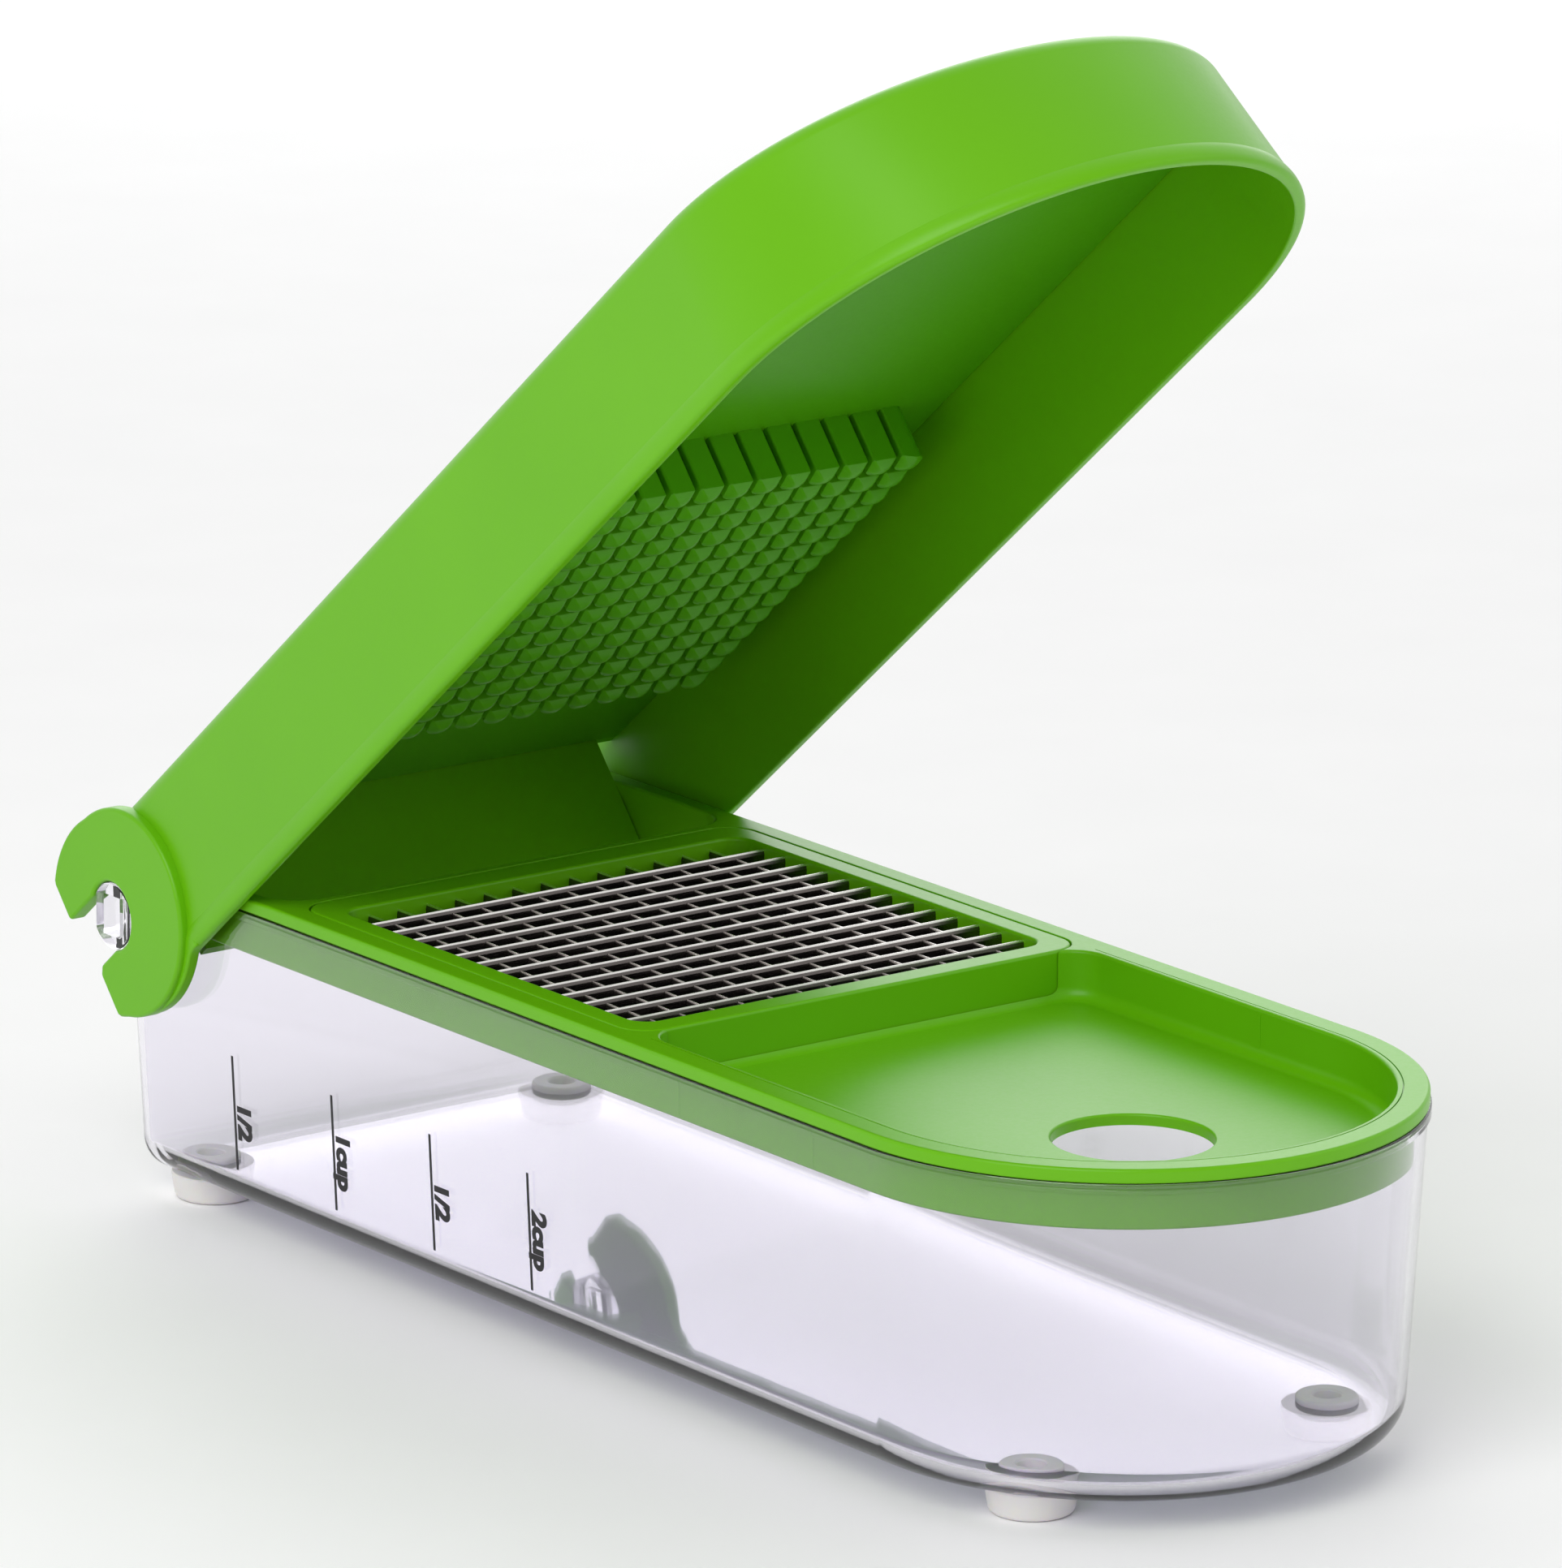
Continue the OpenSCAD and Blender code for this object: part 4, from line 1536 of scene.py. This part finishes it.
@dataclass
class Studio:
    """Pale floor, white surround, soft lamps and the camera."""

    azimuth: float = -37.3512
    elevation: float = 14.7038
    roll: float = 0.4306
    distance: float = 1.99886
    lens: float = 258.41
    sensor: float = 36.0
    off_axis: Point2 = (0.01553, 0.02633)
    sight_drop: float = 0.0009
    white: str = "#ffffff"
    dim: float = 0.4
    bright: float = 1.1

    def axes(self) -> tuple[Vector, Vector, Vector]:
        """Return the camera's right, up and backward directions.

        Returns:
            Three unit vectors.
        """
        a, e, r = (math.radians(v) for v in (self.azimuth, self.elevation, self.roll))
        back = Vector((math.sin(a) * math.cos(e), -math.cos(a) * math.cos(e), math.sin(e)))
        right = Vector((0, 0, 1)).cross(back).normalized()
        up = back.cross(right)
        return (
            right * math.cos(r) + up * math.sin(r),
            up * math.cos(r) - right * math.sin(r),
            back,
        )

    def camera(self) -> None:
        """Place the camera so that it looks past the middle of the blades."""
        right, up, back = self.axes()
        low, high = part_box("blade_cassette")
        target = Vector((0, BladeInsert.grid_y() * MM, high[2] - self.sight_drop))
        eye = target + right * self.off_axis[0] + up * self.off_axis[1] + back * self.distance
        lens = bpy.data.cameras.new("camera")
        lens.lens = self.lens
        lens.sensor_width = self.sensor
        lens.clip_start = 0.05
        lens.clip_end = 50
        seen = bpy.data.objects.new("camera", lens)
        turn = Matrix((right, up, back)).transposed().to_4x4()
        seen.matrix_world = Matrix.Translation(eye) @ turn
        bpy.context.scene.collection.objects.link(seen)
        bpy.context.scene.camera = seen

    def lamp(self, name: str, spot: Vector, aim: Vector, size: float, power: float) -> None:
        """Hang one square softbox.

        Args:
            name: The lamp's name.
            spot: Where it hangs, in metres.
            aim: What it points at.
            size: Its side.
            power: Its power in watts.
        """
        light = bpy.data.lights.new(name, "AREA")
        light.shape = "SQUARE"
        light.size = size
        light.energy = power
        lamp = bpy.data.objects.new(name, light)
        lamp.location = spot
        lamp.rotation_euler = (aim - spot).to_track_quat("-Z", "Y").to_euler()
        bpy.context.scene.collection.objects.link(lamp)

    def surround(self) -> None:
        """Fill the world with white that is bright behind the object and dimmer before it."""
        world = bpy.data.worlds.new("studio")
        world.use_nodes = True
        tree = world.node_tree
        tree.nodes.clear()
        place = add_node(tree, "ShaderNodeTexCoord").outputs["Generated"]
        facing = add_node(
            tree,
            "ShaderNodeVectorMath",
            settings={"operation": "DOT_PRODUCT"},
            values={1: (-self.axes()[2]).normalized()},
            links={0: place},
        )
        level = add_node(
            tree,
            "ShaderNodeMapRange",
            values={"From Min": -0.4, "From Max": 0.7, "To Min": self.dim, "To Max": self.bright},
            links={"Value": facing.outputs["Value"]},
        )
        sky = add_node(
            tree,
            "ShaderNodeBackground",
            values={"Color": srgb(self.white)},
            links={"Strength": level.outputs["Result"]},
        )
        add_node(tree, "ShaderNodeOutputWorld", links={"Surface": sky.outputs["Background"]})
        bpy.context.scene.world = world

    def floor(self) -> None:
        """Lay a wide pale floor under the feet."""
        build = bmesh.new()
        half = 4000
        square = ((-half, -half), (half, -half), (half, half), (-half, half))
        build.faces.new([build.verts.new((x, y, 0)) for x, y in square])
        plane = mesh_object("floor", build)
        # Matt backing paper: it takes soft shadows and returns light without a highlight.
        paper = MouldedPlastic("white_paper", "#ffffff", "#fbfbfb", roughness=0.9, grain_mm=2.0)
        dress(plane, paper.material())

    def build(self) -> None:
        """Set the studio up."""
        self.camera()
        bpy.context.scene.view_settings.view_transform = "Standard"
        self.surround()
        self.floor()
        middle = Vector((0, 0, 0.08))
        self.lamp("key", Vector((-1.2, -0.6, 1.2)), middle, 1.2, 16)
        self.lamp("fill", Vector((1.2, -1.2, 0.9)), middle, 1.4, 4)
        self.lamp("back", Vector((0.95, 1.25, 0.62)), middle, 1.0, 4)


def main() -> None:
    """Build the dicer in order, then its studio."""
    logging.basicConfig(level=logging.INFO, format="%(name)s: %(message)s")
    Studio().build()
    green = GREEN.material()
    Container().build(CLEAR.material(), FOOT.material(), INK.material())
    BladeInsert().build(green, CROSS_STEEL.material(), LONG_STEEL.material())
    lid = Lid()
    lid.build(green)
    # The grid takes the darker green, which is painted shade inside the lid.
    Pusher(lid).build(SHADED_GRID_GREEN.material())


if __name__ == "__main__":
    main()
